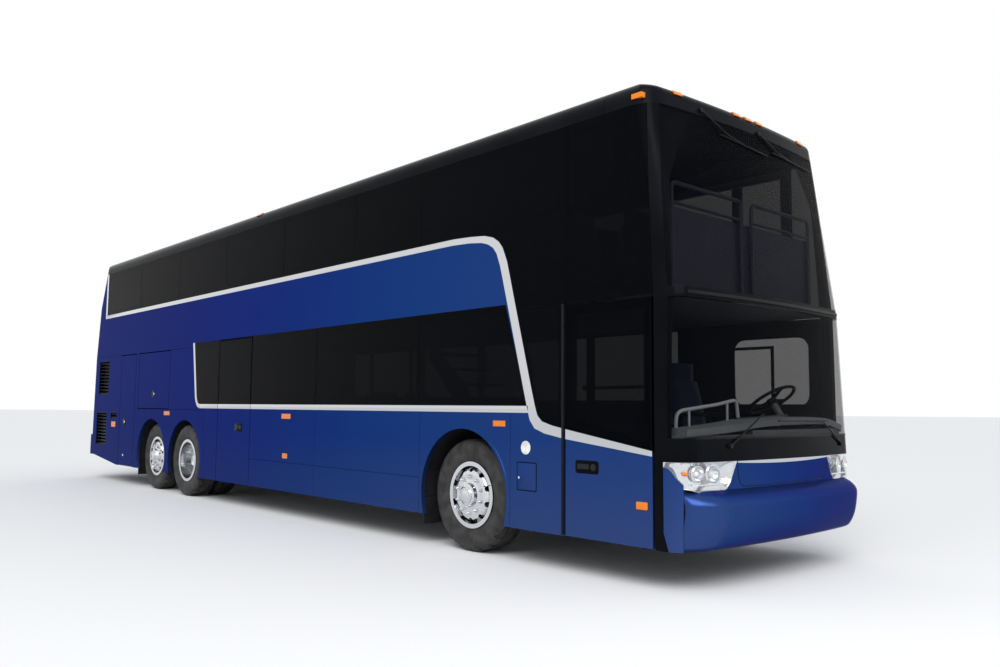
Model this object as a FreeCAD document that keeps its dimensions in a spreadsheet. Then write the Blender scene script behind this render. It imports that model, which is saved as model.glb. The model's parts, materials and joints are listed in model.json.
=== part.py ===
"""Double-deck touring coach, in millimetres: +X forward, +Y to the driver's side, +Z up,
origin on the ground under the middle of the overall box."""
import FreeCAD
import Part
import math
import os
from FreeCAD import Placement, Rotation, Vector

# ---------------------------------------------------------------- driving dimensions
SIZES = [
    # alias, value, what it is
    ("body_length", 13720, "over both bumpers"),
    ("body_width", 2580, "over the side panels"),
    ("roof_height", 3945, "ground to the crown of the roof"),
    ("wall", 50, "whole side wall, front and rear wall, roof and doors"),
    ("glass", 8, "bonded panes and windscreens"),
    ("lamp_stand", 5, "what side lamps stand out of the panels"),
    ("seam", 4, "open joint between two panels"),
    ("pane_gap", 6, "joint between two panes"),
    ("door_gap", 12, "joint round a hinged door"),
    ("hinge_set", 5, "hinge line inside the outer face"),
    ("clear", 2, "play between loose-fitted pieces"),
    ("nose_set", 131, "bumper tip to the front wall at the headlamps"),
    ("tail_set", 95, "rear bumper to the rear wall"),
    ("nose_radius", 9500, "plan curve of the front"),
    ("nose_corner", 205, "plan radius of the front corners"),
    ("tail_radius", 20000, "plan curve of the rear"),
    ("tail_corner", 250, "plan radius of the rear corners"),
    ("edge_radius", 170, "roof edge"),
    ("camber_radius", 20000, "roof crown across"),
    ("droop_run", 1410, "length of the falling part of the roof"),
    ("droop_radius", 4900, "roof fall seen from the side"),
    ("front_roll", 90, "rolled edge over the upper windscreen"),
    ("skirt_z", 300, "bottom edge of the side panels"),
    ("tail_ramp_x", -5200, "x where the bottom edge starts to rise"),
    ("tail_ramp_z", 435, "bottom edge at the rear corner"),
    ("waist_z", 1350, "bottom of the lower windows"),
    ("header_z", 2247, "top of the lower windows"),
    ("belt_z", 2943, "bottom of the upper windows"),
    ("cant_drop", 245, "roof crown to the top of the upper windows"),
    ("deck_seam_z", 2190, "joint line between the decks"),
    ("locker_z", 1267, "bottom of the luggage bay doors"),
    ("rail_depth", 77, "height of the window rails"),
    ("post_width", 100, "width of the window posts"),
    ("flap_z", 647, "joint over the skirt flaps"),
    ("front_axle_x", 4160, "front axle"),
    ("drive_axle_x", -2300, "drive axle"),
    ("tag_axle_x", -3630, "tag axle"),
    ("tyre_radius", 520, "outer radius of a tyre"),
    ("tyre_width", 300, "width of a tyre"),
    ("rim_radius", 290, "seat of the tyre on its rim"),
    ("flange_radius", 308, "rim flange"),
    ("rim_width", 262, "over the rim flanges"),
    ("single_track", 1050, "middle of a single tyre from the centre line"),
    ("twin_track", 1103, "middle of the outer twin tyre from the centre line"),
    ("twin_pitch", 340, "between the twin tyres"),
    ("hand_holes", 10, "holes in a wheel disc"),
    ("hand_hole_radius", 27, "hole in a wheel disc"),
    ("hand_hole_circle", 238, "radius of the ring of holes"),
    ("bore_play", 0.05, "radial play of a hub on its spindle"),
    ("spindle_radius", 45, "wheel spindle"),
    ("front_arch", 620, "radius of the front wheel arch"),
    ("rear_arch", 595, "radius of the rear wheel arches"),
    ("liner_gap", 15, "arch edge to wheelhouse liner"),
    ("liner", 10, "wheelhouse liner"),
    ("kingpin_track", 890, "kingpin from the centre line"),
    ("kingpin_radius", 22, "kingpin"),
    ("floor_z", 400, "top of the lower floor"),
    ("floor_depth", 40, "lower floor"),
    ("deck_z", 2262, "top of the upper floor"),
    ("deck_depth", 60, "upper floor"),
    ("saloon_rear_x", -1645, "bulkhead behind the lower saloon"),
    ("bay_floor_z", 1250, "top of the luggage bay floor"),
    ("seat_pitch", 800, "between rows of seats"),
    ("upper_rows", 13, "rows on the upper deck"),
    ("seat_width", 960, "double seat"),
    ("door_front_x", 6387, "front edge of the entrance doorway"),
    ("door_rear_x", 5463, "rear edge of the entrance doorway"),
    ("entrance_gap", 20, "joint round the entrance door"),
    ("side_door_front_x", -177, "front edge of the middle doorway"),
    ("side_door_rear_x", -1183, "rear edge of the middle doorway"),
    ("arm_reach", 680, "entrance door arm, pivot to door"),
    ("hatch_size", 620, "roof hatch"),
    ("hatch_stand", 15, "roof hatch above the crown"),
    ("bumper_corner", 344, "plan radius of the bumper corners"),
    ("bumper_skin", 60, "front bumper moulding"),
]

doc = FreeCAD.newDocument("coach")
sheet = doc.addObject("Spreadsheet::Sheet", "sizes")
for row, (alias, value, meaning) in enumerate(SIZES, 1):
    sheet.set("A%d" % row, alias)
    sheet.set("B%d" % row, str(value))
    sheet.set("C%d" % row, meaning)
    sheet.setAlias("B%d" % row, alias)
doc.recompute()


class Sizes:
    """The sheet's values by name."""

    def __getattr__(self, name):
        return float(sheet.get(name))


S = Sizes()
HALF = S.body_length / 2
DROOP_X = HALF - S.droop_run      # the roof starts to fall here
CANT_Z = S.roof_height - S.cant_drop    # top of the upper windows
SIDE = S.body_width / 2
RIGHT = -1
LEFT = 1
SIDES = ((RIGHT, "right"), (LEFT, "left"))
TALL = S.roof_height + 255       # higher than anything on the coach
WIDE = 2000                     # wider than half the coach

NOSE_X = HALF - S.nose_set
TAIL_X = HALF - S.tail_set
PILLAR_X = S.door_front_x + 113  # front edge of the front corner pillars
SIDE_END_X = -(TAIL_X - 315)     # the flat sides end here
COLUMN_X = -(HALF - 860)         # rear edge of the upper windows

parts = {}


def feature(label, shape, place=Placement()):
    """One sub-part whose shape is worked out above."""
    made = doc.addObject("Part::Feature", label)
    made.Label = label
    made.Shape = shape
    made.Placement = place
    parts[label] = made
    return made


def box(x0, x1, y0, y1, z0, z1):
    return Part.makeBox(x1 - x0, y1 - y0, z1 - z0, Vector(x0, y0, z0))


def rod(start, end, radius):
    run = Vector(*end) - Vector(*start)
    return Part.makeCylinder(radius, run.Length, Vector(*start), run)


def polygon_face(points):
    return Part.Face(Part.makePolygon(list(points) + [points[0]]))


def side_prism(points, y0, y1):
    """A side-view outline (x, z) taken from y0 to y1."""
    return polygon_face([Vector(x, y0, z) for x, z in points]).extrude(Vector(0, y1 - y0, 0))


def front_prism(points, x0, x1):
    """A front-view outline (y, z) taken from x0 to x1."""
    return polygon_face([Vector(x0, y, z) for y, z in points]).extrude(Vector(x1 - x0, 0, 0))


def slab(points, side, outer=0, inner=None):
    """A side-view outline as a flat plate between two depths under the outer face."""
    inner = S.wall if inner is None else inner
    return side_prism(points, side * (SIDE - outer), side * (SIDE - inner))


def oblong(x0, x1, z0, z1):
    return [(x0, z0), (x1, z0), (x1, z1), (x0, z1)]


def round_hole(x, z, radius):
    return Part.makeCylinder(radius, 2 * WIDE, Vector(x, -WIDE, z), Vector(0, 1, 0))


def join(shapes):
    whole = shapes[0]
    for shape in shapes[1:]:
        whole = whole.fuse(shape)
    return whole.removeSplitter()


def group(shapes):
    return Part.makeCompound([solid for shape in shapes for solid in shape.Solids])


def mirrored(shape):
    return shape.mirror(Vector(0, 0, 0), Vector(0, 1, 0))


# ---------------------------------------------------------------- body form
# height, nose behind the bumper tip, tail ahead of the rear bumper
BODY_SECTIONS = [
    (S.skirt_z - 50, S.nose_set + 9, S.tail_set - 5),
    (945, S.nose_set, S.tail_set),
    (S.deck_seam_z, S.nose_set + 60, S.tail_set + 40),
    (3100, S.nose_set + 195, S.tail_set + 180),
    (S.roof_height + 55, S.nose_set + 328, S.tail_set + 565),
]
# height, nose behind the bumper tip
BUMPER_SECTIONS = [(290, 190), (330, 80), (450, 22), (600, 0), (660, 8), (705, 66), (735, 118)]


def corner_geometry(crown, corner, half):
    """Centre of a corner arc under a crown arc through the origin, and where the two meet."""
    centre = -crown + math.sqrt((crown - corner) ** 2 - (half - corner) ** 2)
    grow = crown / (crown - corner)
    return centre, -crown + (centre + crown) * grow, (half - corner) * grow


def arc_through_middle(a, b, centre, radius):
    chord = (a + b) * 0.5 - centre
    middle = centre + chord * (radius / chord.Length)
    return Part.Arc(a, middle, b).toShape()


def plan_outline(z, nose, tail, half, crowns, corners):
    """Closed plan outline at height z: curved front and rear, round corners, straight sides."""
    front, front_x, front_y = corner_geometry(crowns[0], corners[0], half)
    rear, rear_x, rear_y = corner_geometry(crowns[1], corners[1], half)
    nose_left = Vector(nose + front_x, front_y, z)
    nose_right = Vector(nose + front_x, -front_y, z)
    tail_left = Vector(-tail - rear_x, rear_y, z)
    tail_right = Vector(-tail - rear_x, -rear_y, z)
    front_left = Vector(nose + front, half, z)
    front_right = Vector(nose + front, -half, z)
    rear_left = Vector(-tail - rear, half, z)
    rear_right = Vector(-tail - rear, -half, z)
    left_centre = Vector(nose + front, half - corners[0], z)
    right_centre = Vector(nose + front, corners[0] - half, z)
    rear_left_centre = Vector(-tail - rear, half - corners[1], z)
    rear_right_centre = Vector(-tail - rear, corners[1] - half, z)
    return Part.Wire([
        Part.Arc(nose_right, Vector(nose, 0, z), nose_left).toShape(),
        arc_through_middle(nose_left, front_left, left_centre, corners[0]),
        Part.LineSegment(front_left, rear_left).toShape(),
        arc_through_middle(rear_left, tail_left, rear_left_centre, corners[1]),
        Part.Arc(tail_left, Vector(-tail, 0, z), tail_right).toShape(),
        arc_through_middle(tail_right, rear_right, rear_right_centre, corners[1]),
        Part.LineSegment(rear_right, front_right).toShape(),
        arc_through_middle(front_right, nose_right, right_centre, corners[0]),
    ])


def cross_section(depth):
    """Body seen from the front: flat sides, rolled roof edges and a cambered roof."""
    half = SIDE - depth
    top = S.roof_height - depth
    crown = S.camber_radius - depth
    corner = S.edge_radius - depth
    drop, meet_z, meet_y = corner_geometry(crown, corner, half)
    x = -HALF - 140
    low_right = Vector(x, -half, 0)
    low_left = Vector(x, half, 0)
    right = Vector(x, -half, top + drop)
    left = Vector(x, half, top + drop)
    roof_right = Vector(x, -meet_y, top + meet_z)
    roof_left = Vector(x, meet_y, top + meet_z)
    wire = Part.Wire([
        Part.LineSegment(low_right, low_left).toShape(),
        Part.LineSegment(low_left, left).toShape(),
        arc_through_middle(left, roof_left, Vector(x, half - corner, top + drop), corner),
        Part.Arc(roof_left, Vector(x, 0, top), roof_right).toShape(),
        arc_through_middle(roof_right, right, Vector(x, corner - half, top + drop), corner),
        Part.LineSegment(right, low_right).toShape(),
    ])
    return Part.Face(wire).extrude(Vector(2 * HALF + 280, 0, 0))


def side_view(depth):
    """Body seen from the side: level roof that falls towards the front."""
    top = S.roof_height - depth
    radius = S.droop_radius - depth
    centre_z = S.roof_height - S.droop_radius
    end_x = HALF + 100

    def roof_at(x):
        return centre_z + math.sqrt(radius ** 2 - (x - DROOP_X) ** 2)

    level = Vector(DROOP_X, -WIDE, top)
    middle_x = (DROOP_X + end_x) / 2
    end = Vector(end_x, -WIDE, roof_at(end_x))
    wire = Part.Wire([
        Part.LineSegment(Vector(-end_x, -WIDE, top), level).toShape(),
        Part.Arc(level, Vector(middle_x, -WIDE, roof_at(middle_x)), end).toShape(),
        Part.LineSegment(end, Vector(end_x, -WIDE, 0)).toShape(),
        Part.LineSegment(Vector(end_x, -WIDE, 0), Vector(-end_x, -WIDE, 0)).toShape(),
        Part.LineSegment(Vector(-end_x, -WIDE, 0), Vector(-end_x, -WIDE, top)).toShape(),
    ])
    return Part.Face(wire).extrude(Vector(0, 2 * WIDE, 0))


def body_form(depth):
    """The whole body, its faces drawn in by depth."""
    crowns = (S.nose_radius - depth, S.tail_radius - depth)
    corners = (S.nose_corner - depth, S.tail_corner - depth)
    outlines = [plan_outline(z, HALF - nose - depth, HALF - tail - depth, SIDE - depth,
                             crowns, corners) for z, nose, tail in BODY_SECTIONS]
    form = Part.makeLoft(outlines, True, True)
    form = form.common([cross_section(depth)]).common([side_view(depth)])
    return rolled_front(form.Solids[0], S.front_roll - depth)


def rolled_front(form, radius):
    """Round the edge between the roof and the front wall."""
    edges = [edge for edge in form.Edges
             if edge.CenterOfMass.z > CANT_Z and edge.CenterOfMass.x > DROOP_X
             and edge.Length > S.body_width / 2
             and edge.BoundBox.YLength > 4 * max(edge.BoundBox.XLength, edge.BoundBox.ZLength)]
    if radius < 1:
        return form
    return form.makeFillet(radius, edges)


OUTER = body_form(0)
UNDER_GLASS = body_form(S.glass)
INNER = body_form(S.wall)
SHELL = OUTER.cut(INNER)
SKIN = OUTER.cut(UNDER_GLASS)
FRAME = UNDER_GLASS.cut(INNER)

# ---------------------------------------------------------------- side outlines
DOOR_SILL_REAR_Z = 1165          # lower edge of the door glass at its rear edge
DOOR_SILL_FRONT_Z = 1017
# front edge of the belt panel, from the upper windows down to the lower ones (x, z)
SWOOSH = [(4000, S.belt_z), (4250, 2930), (4450, 2912), (4570, 2880), (4650, 2830), (4700, 2770),
          (4730, 2710), (4870, S.header_z)]
SWOOSH_FOOT = [(5125, S.waist_z), (5150, 1270), (5210, 1220), (5290, 1195)]
WINDOW_TAIL = [(-2095, S.header_z), (-1960, 1450), (-1915, 1385), (-1830, S.waist_z)]
ARCHES = [round_hole(S.front_axle_x - 5, S.tyre_radius, S.front_arch),
          round_hole(S.drive_axle_x - 10, S.tyre_radius, S.rear_arch),
          round_hole(S.tag_axle_x - 10, S.tyre_radius, S.rear_arch)]
ARCH_FRONT_X = 4817
ARCH_REAR_X = 3497
FLAP_JOINT_X = 1473
QUARTER_X = -1630
LOCKER_FRONT_X = -2950
LOCKER_REAR_X = -4280
SERVICE_FRONT_X = -4417
SERVICE_REAR_X = -5133
GAP = S.seam / 2
DOOR_SILL = (DOOR_SILL_REAR_Z, DOOR_SILL_FRONT_Z)
LOCKER_TOP = S.deck_seam_z - 7


def sill_at(x):
    """Upper edge of the bright line under the front side glass."""
    share = (x - S.door_rear_x) / (S.door_front_x - S.door_rear_x)
    return DOOR_SILL_REAR_Z + share * (DOOR_SILL_FRONT_Z - DOOR_SILL_REAR_Z)


# x, z of each group, how many slats
LOUVRES = [(-6283, -5760, 1517, 2110, 10), (-6333, -5800, 617, 1190, 10),
           (-5583, -5267, 1100, 1190, 2)]


def side_panels(side):
    """Painted panels of one side, one solid for each panel between two joints."""
    skirt = S.skirt_z
    waist = S.waist_z
    plates = []
    if side == RIGHT:
        front_end = S.door_rear_x
        openings = [(S.side_door_rear_x, S.side_door_front_x)]
    else:
        front_end = S.door_front_x
        openings = []
    front_top = [(front_end, sill_at(front_end))] + SWOOSH_FOOT[::-1]
    plates.append([(ARCH_FRONT_X + GAP, skirt), (front_end, skirt)] + front_top
                  + [(ARCH_FRONT_X + GAP, waist)])
    plates.append(oblong(ARCH_REAR_X + GAP, ARCH_FRONT_X - GAP, skirt, waist))
    middle = [(FLAP_JOINT_X + GAP, ARCH_REAR_X - GAP)]
    if openings:
        middle.append((S.side_door_front_x, FLAP_JOINT_X - GAP))
        plates.append(oblong(QUARTER_X + GAP, S.side_door_rear_x, skirt, waist))
    else:
        middle.append((QUARTER_X + GAP, FLAP_JOINT_X - GAP))
    for x0, x1 in middle:
        plates.append(oblong(x0, x1, skirt, S.flap_z - GAP))
        plates.append(oblong(x0, x1, S.flap_z + GAP, waist))
    plates.append(oblong(LOCKER_REAR_X + GAP, QUARTER_X - GAP, skirt, S.locker_z - GAP))
    plates.append([(LOCKER_FRONT_X, S.locker_z + GAP), (QUARTER_X - GAP, S.locker_z + GAP),
                   (QUARTER_X - GAP, waist)] + WINDOW_TAIL[::-1]
                  + [(WINDOW_TAIL[0][0], LOCKER_TOP), (LOCKER_FRONT_X, LOCKER_TOP)])
    plates.append(oblong(SERVICE_FRONT_X, LOCKER_REAR_X - GAP, skirt, LOCKER_TOP))
    plates.append([(SERVICE_REAR_X, skirt), (SERVICE_REAR_X, LOCKER_TOP),
                   (SIDE_END_X, LOCKER_TOP), (SIDE_END_X, S.tail_ramp_z), (S.tail_ramp_x, skirt)])
    plates.append([(COLUMN_X, LOCKER_TOP + S.seam), (WINDOW_TAIL[0][0] - GAP, LOCKER_TOP + S.seam),
                   (WINDOW_TAIL[0][0] - GAP, S.header_z)] + SWOOSH[::-1] + [(COLUMN_X, S.belt_z)])
    plates.append([(5030, waist + GAP), (SWOOSH_FOOT[0][0] - 6, waist + GAP),
                   (SWOOSH[-1][0] - 2, S.header_z - GAP), (4745, S.header_z - GAP)])
    solids = [slab(points, side) for points in plates]
    for arch in ARCHES:
        solids = [solid.cut(arch) for solid in solids]
    for x0, x1, z0, z1, slats in LOUVRES:
        opening = slab(oblong(x0, x1, z0, z1), side, -1, S.wall + 1)
        solids = [solid.cut(opening) for solid in solids]
    return group(solids)


def louvres(side):
    """Frames with slanted slats in the louvre openings of one side."""
    grilles = []
    for x0, x1, z0, z1, slats in LOUVRES:
        pitch = (z1 - z0) / slats
        rim = slab(oblong(x0, x1, z0, z1), side, 10, S.wall)
        rim = rim.cut(slab(oblong(x0 + 14, x1 - 14, z0 + 8, z1 - 8), side, 0, S.wall + 1))
        blades = []
        for number in range(slats):
            low = z0 + pitch * (number + 0.25)
            profile = [(side * (SIDE - 12), low), (side * (SIDE - 12), low + 6),
                       (side * (SIDE - 44), low + pitch * 0.6 + 6),
                       (side * (SIDE - 44), low + pitch * 0.6)]
            blades.append(front_prism(profile, x0 + 10, x1 - 10))
        grilles.append(rim.multiFuse(blades))
    return grilles


# joints between the panes of the upper and lower windows
UPPER_JOINTS = [-4350, -2700, -1050, 600, 2250, ARCH_REAR_X - 30]
LOWER_JOINTS = [S.side_door_rear_x, S.side_door_front_x, FLAP_JOINT_X, ARCH_REAR_X - 30]
UPPER_SPLIT_X = 5500             # joint ahead of the swoosh


def pane(points, side):
    return slab(points, side, 0, S.glass)


def side_glass(side):
    """Bonded panes of one side."""
    gap = S.pane_gap / 2
    panes = []
    edges = [COLUMN_X] + UPPER_JOINTS
    for x0, x1 in zip(edges, edges[1:]):
        panes.append(pane(oblong(x0 + gap, x1 - gap, S.belt_z, CANT_Z), side))
    last = edges[-1] + gap
    panes.append(pane([(last, S.belt_z)] + SWOOSH
                      + [(SWOOSH[-1][0] + 15, S.deck_seam_z + gap),
                         (UPPER_SPLIT_X - gap, S.deck_seam_z + gap),
                         (UPPER_SPLIT_X - gap, CANT_Z), (last, CANT_Z)], side))
    lower = [QUARTER_X] + LOWER_JOINTS + [SWOOSH[-1][0]]
    for x0, x1 in zip(lower, lower[1:]):
        if side == RIGHT and x0 == S.side_door_rear_x:
            continue
        if x0 == QUARTER_X:
            outline = [(x1 - gap, S.waist_z)] + WINDOW_TAIL[::-1] + [(x1 - gap, S.header_z)]
        elif x1 == SWOOSH[-1][0]:
            outline = [(x0 + gap, S.waist_z), (5030 - GAP, S.waist_z),
                       (4745 - GAP, S.header_z), (x0 + gap, S.header_z)]
        else:
            outline = oblong(x0 + gap, x1 - gap, S.waist_z, S.header_z)
        panes.append(pane(outline, side))
    front_end = S.door_rear_x if side == RIGHT else S.door_front_x
    panes.append(pane([(SWOOSH[-1][0] + 19, S.deck_seam_z - gap)] + SWOOSH_FOOT
                      + [(front_end, sill_at(front_end)), (front_end, S.deck_seam_z - gap)], side))
    nose_pane = SKIN.common(side_prism([
        (UPPER_SPLIT_X + gap, S.deck_seam_z + gap), (S.door_front_x - S.clear, S.deck_seam_z + gap),
        (S.door_front_x - 84, CANT_Z), (UPPER_SPLIT_X + gap, CANT_Z)],
        side * WIDE, side * (SIDE - S.nose_corner)))
    panes.append(nose_pane)
    return panes


def rails(side):
    """Window rails of one side, behind the panes and between the panels."""
    depth = S.rail_depth
    inner = (S.glass, S.wall)
    upper_end = UPPER_SPLIT_X + 600
    runs = [
        slab(oblong(COLUMN_X, upper_end, CANT_Z - depth, CANT_Z), side, *inner),
        slab([(COLUMN_X, S.belt_z), (4000, S.belt_z), (4700, S.belt_z), (upper_end, S.belt_z),
              (upper_end, S.belt_z + depth), (COLUMN_X, S.belt_z + depth)], side, *inner),
        slab(oblong(WINDOW_TAIL[0][0] + 25, 4740, S.header_z - depth, S.header_z), side, *inner),
        slab(oblong(-1825, S.side_door_rear_x, S.waist_z, S.waist_z + depth), side, *inner),
        slab(oblong(S.side_door_front_x, 5000, S.waist_z, S.waist_z + depth), side, *inner),
        slab(oblong(SWOOSH[-1][0] + 20, upper_end, S.deck_seam_z + 5, S.deck_seam_z + 5 + depth),
             side, *inner),
    ]
    if side == LEFT:
        runs[3] = slab(oblong(-1825, S.side_door_front_x, S.waist_z, S.waist_z + depth), side, *inner)
    if side == RIGHT:
        doorway = slab(oblong(S.side_door_rear_x, S.side_door_front_x, S.waist_z,
                              S.header_z - 1), side, 0, S.wall)
        runs = [run.cut(doorway) for run in runs]
    return runs


def posts(side):
    """Window posts of one side, between the rails."""
    half = S.post_width / 2
    inner = (S.glass, S.wall)
    stand = []
    for x in UPPER_JOINTS + [UPPER_SPLIT_X]:
        stand.append(slab(oblong(x - half, x + half, S.belt_z + S.rail_depth,
                                 CANT_Z - S.rail_depth), side, *inner))
    low = S.waist_z + S.rail_depth
    high = S.header_z - S.rail_depth
    for x in [ARCH_REAR_X - 30, FLAP_JOINT_X]:
        stand.append(slab(oblong(x - half, x + half, low, high), side, *inner))
    stand.append(slab(oblong(S.side_door_front_x, S.side_door_front_x + half, low, high),
                      side, *inner))
    stand.append(slab(oblong(S.side_door_rear_x - half, S.side_door_rear_x, low, high),
                      side, *inner))
    if side == RIGHT:
        stand.append(slab(oblong(S.door_rear_x - 70, S.door_rear_x, sill_at(S.door_rear_x) + 20,
                                 S.deck_seam_z), side, *inner))
    else:
        stand.append(slab(oblong(S.door_front_x - 70, S.door_front_x,
                                 sill_at(S.door_front_x) + 20, S.deck_seam_z), side, *inner))
    stand.append(slab(oblong(UPPER_SPLIT_X + 500, UPPER_SPLIT_X + 600,
                             S.belt_z + S.rail_depth, CANT_Z - S.rail_depth), side, *inner))
    return stand


feature("right_side_panels", side_panels(RIGHT))
feature("left_side_panels", side_panels(LEFT))
feature("louvres", group(louvres(RIGHT) + louvres(LEFT)))
feature("body_rails", group(rails(RIGHT) + rails(LEFT)))
feature("window_posts", group(posts(RIGHT) + posts(LEFT)))

# ---------------------------------------------------------------- front
NOSE = HALF + 200                # ahead of everything
MASK_Z = 945                     # bottom of the black band under the lower windscreen
SCREEN_Z = 1120                  # bottom of the lower windscreen
DIVIDER_Z = (2170, 2250)         # bar between the two windscreens
LAMP_INNER_Y = 693
LAMP_Z = 728                     # bottom of the headlamps
CHIN_Z = 700                     # bottom of the panel between the headlamps
CHIN_Y = LAMP_INNER_Y + 190      # the panel runs under the headlamps' inner ends
PILLAR_LEAN = 137
CORNER_Y = SIDE - 62             # the bumper ends here
FOOT_X = S.door_front_x + 75     # front edge of the pillars below the headlamps' top


def pillar_outline():
    """Front corner pillar seen from the side."""
    return [(S.door_front_x, S.skirt_z), (FOOT_X + 40, S.skirt_z), (FOOT_X, S.skirt_z + 130),
            (FOOT_X, MASK_Z), (PILLAR_X, MASK_Z),
            (PILLAR_X, S.deck_seam_z), (PILLAR_X - PILLAR_LEAN, CANT_Z),
            (S.door_front_x - 82, CANT_Z), (S.door_front_x, S.deck_seam_z + 3)]


def screen_zone(z0, z1):
    """Everything ahead of the pillars between two heights."""
    edge = [(PILLAR_X - PILLAR_LEAN * max(0, (z - S.deck_seam_z) / (CANT_Z - S.deck_seam_z)), z)
            for z in (z0, z1)]
    return side_prism([edge[0], (NOSE, z0), (NOSE, z1), edge[1]], -WIDE, WIDE)


front_shell = SHELL.common(box(S.door_front_x - 200, NOSE, -WIDE, WIDE, S.skirt_z, CANT_Z))
front_skin = SKIN.common(box(S.door_front_x - 200, NOSE, -WIDE, WIDE, SCREEN_Z, CANT_Z))
pillar_zone = side_prism(pillar_outline(), -WIDE, WIDE)
pillars = front_shell.common(pillar_zone).cut(box(0, NOSE, 1000 - SIDE, SIDE - 1000, 0, TALL))
divider = front_shell.common(screen_zone(*DIVIDER_Z))
band = front_shell.common(screen_zone(MASK_Z, SCREEN_Z))
feature("front_pillars", group([pillars]))
feature("front_crossbars", group([divider.cut(pillars), band.cut(pillars)]))
feature("windscreens", group([front_skin.common(screen_zone(SCREEN_Z, DIVIDER_Z[0])),
                              front_skin.common(screen_zone(DIVIDER_Z[1], CANT_Z))]))

# right headlamp seen from the front (y, z)
LAMP_OUTLINE = [(-LAMP_INNER_Y, MASK_Z), (-LAMP_INNER_Y - 82, MASK_Z - 155),
                (-LAMP_INNER_Y - 122, LAMP_Z + 16), (-LAMP_INNER_Y - 177, LAMP_Z),
                (-1130, LAMP_Z), (-1200, LAMP_Z + 20), (-1262, MASK_Z - 124),
                (-1284, MASK_Z - 50), (-SIDE - 10, MASK_Z - 20), (-SIDE - 10, MASK_Z)]
lamp_zone = front_prism(LAMP_OUTLINE, FOOT_X + 3, NOSE)
lamp_zones = lamp_zone.fuse(mirrored(lamp_zone))
lower_shell = front_shell.common(box(FOOT_X, NOSE, -WIDE, WIDE, S.skirt_z, MASK_Z))
headlamps = lower_shell.common(lamp_zones)
chin = lower_shell.common(box(PILLAR_X, NOSE, -CHIN_Y, CHIN_Y, CHIN_Z, MASK_Z))
chin = chin.cut(lamp_zones)
corners = lower_shell.common(side_prism([(FOOT_X + 43, S.skirt_z), (NOSE, S.skirt_z),
                                         (NOSE, MASK_Z), (FOOT_X + 3, MASK_Z),
                                         (FOOT_X + 3, S.skirt_z + 133)], -WIDE, WIDE))
corners = corners.cut(box(FOOT_X - 10, NOSE, -CORNER_Y - 3, CORNER_Y + 3, 0, TALL))
corners = corners.cut(lamp_zones)
feature("headlamps", group([headlamps]))
feature("front_lower_panels", group([chin, corners]))


def bumper_form(depth):
    """Front bumper's outer form, drawn in by depth."""
    outlines = [plan_outline(z, HALF - nose - depth, HALF - S.tail_set - depth,
                             SIDE - 15 - depth, (10000 - depth, S.tail_radius),
                             (S.bumper_corner - depth, S.tail_corner))
                for z, nose in BUMPER_SECTIONS]
    return Part.makeLoft(outlines, True, True)


bumper = bumper_form(0).cut(bumper_form(S.bumper_skin))
bumper = bumper.common(box(PILLAR_X + 45, NOSE, -CORNER_Y, CORNER_Y, 0, TALL))
bumper = bumper.cut(headlamps).cut(chin)
feature("front_bumper", group([bumper]))

# ---------------------------------------------------------------- rear
REAR_BUMPER_Z = (430, 785)
ENGINE_DOOR_Y = 960
REAR_SCREEN = (950, 2800, CANT_Z - 140)  # half width, bottom, top
TAIL = -HALF - 200

tail_low = SHELL.common(box(TAIL, SIDE_END_X, -WIDE, WIDE, REAR_BUMPER_Z[1], LOCKER_TOP))
tail_high = SHELL.common(box(TAIL, COLUMN_X, -WIDE, WIDE, LOCKER_TOP + S.seam, CANT_Z))
corner_zone = box(TAIL, 0, -WIDE, -REAR_SCREEN[0] - 20, 0, TALL)
corner_zones = corner_zone.fuse(mirrored(corner_zone))
TAIL_LAMP = (1000, 1650, 1010, 1200)  # z low, z high, y low, y high


def tail_lamp_zone(side):
    z0, z1, y0, y1 = TAIL_LAMP
    return box(TAIL, -HALF + 600, min(side * y0, side * y1), max(side * y0, side * y1), z0, z1)


lamp_pockets = [SKIN.common(tail_lamp_zone(side)) for side in (RIGHT, LEFT)]
low_corners = tail_low.common(corner_zones)
for pocket in lamp_pockets:
    low_corners = low_corners.cut(pocket)
feature("rear_corners", group([low_corners, tail_high.common(corner_zones)]))
feature("tail_lamps", group(lamp_pockets))
middle_zone = box(TAIL, 0, -REAR_SCREEN[0] - 20, REAR_SCREEN[0] + 20, 0, TALL)
rear_middle = tail_high.common(middle_zone)
screen_hole = box(TAIL, 0, -REAR_SCREEN[0], REAR_SCREEN[0], REAR_SCREEN[1], REAR_SCREEN[2])
rear_belt = rear_middle.common(box(TAIL, 0, -WIDE, WIDE, 0, REAR_SCREEN[1]))
rear_header = rear_middle.common(box(TAIL, 0, -WIDE, WIDE, REAR_SCREEN[2], TALL))
feature("rear_wall", group([rear_belt, rear_header]))
rear_pane = SKIN.common(box(TAIL, COLUMN_X, -REAR_SCREEN[0] - 19, REAR_SCREEN[0] + 19,
                            REAR_SCREEN[1], REAR_SCREEN[2]))
feature("body_glass", group(side_glass(RIGHT) + side_glass(LEFT) + [rear_pane]))
engine_door = tail_low.common(box(TAIL, 0, -ENGINE_DOOR_Y, ENGINE_DOOR_Y,
                                  REAR_BUMPER_Z[1] + S.door_gap, LOCKER_TOP - S.door_gap))
feature("engine_door", group([engine_door]))
rear_outline = [plan_outline(z, NOSE_X, HALF, SIDE - 1, (S.nose_radius, S.tail_radius),
                             (S.nose_corner, S.tail_corner)) for z in REAR_BUMPER_Z]
rear_bumper = Part.makeLoft(rear_outline, True, True)
rear_core = Part.makeLoft([plan_outline(z, NOSE_X - 60, HALF - 60, SIDE - 61,
                                        (S.nose_radius, S.tail_radius),
                                        (S.nose_corner, S.tail_corner - 60))
                           for z in (0, TALL)], True, True)
rear_bumper = rear_bumper.cut(rear_core).common(box(TAIL, SIDE_END_X - S.seam, -WIDE, WIDE, 0, TALL))
feature("rear_bumper", group([rear_bumper]))

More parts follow.
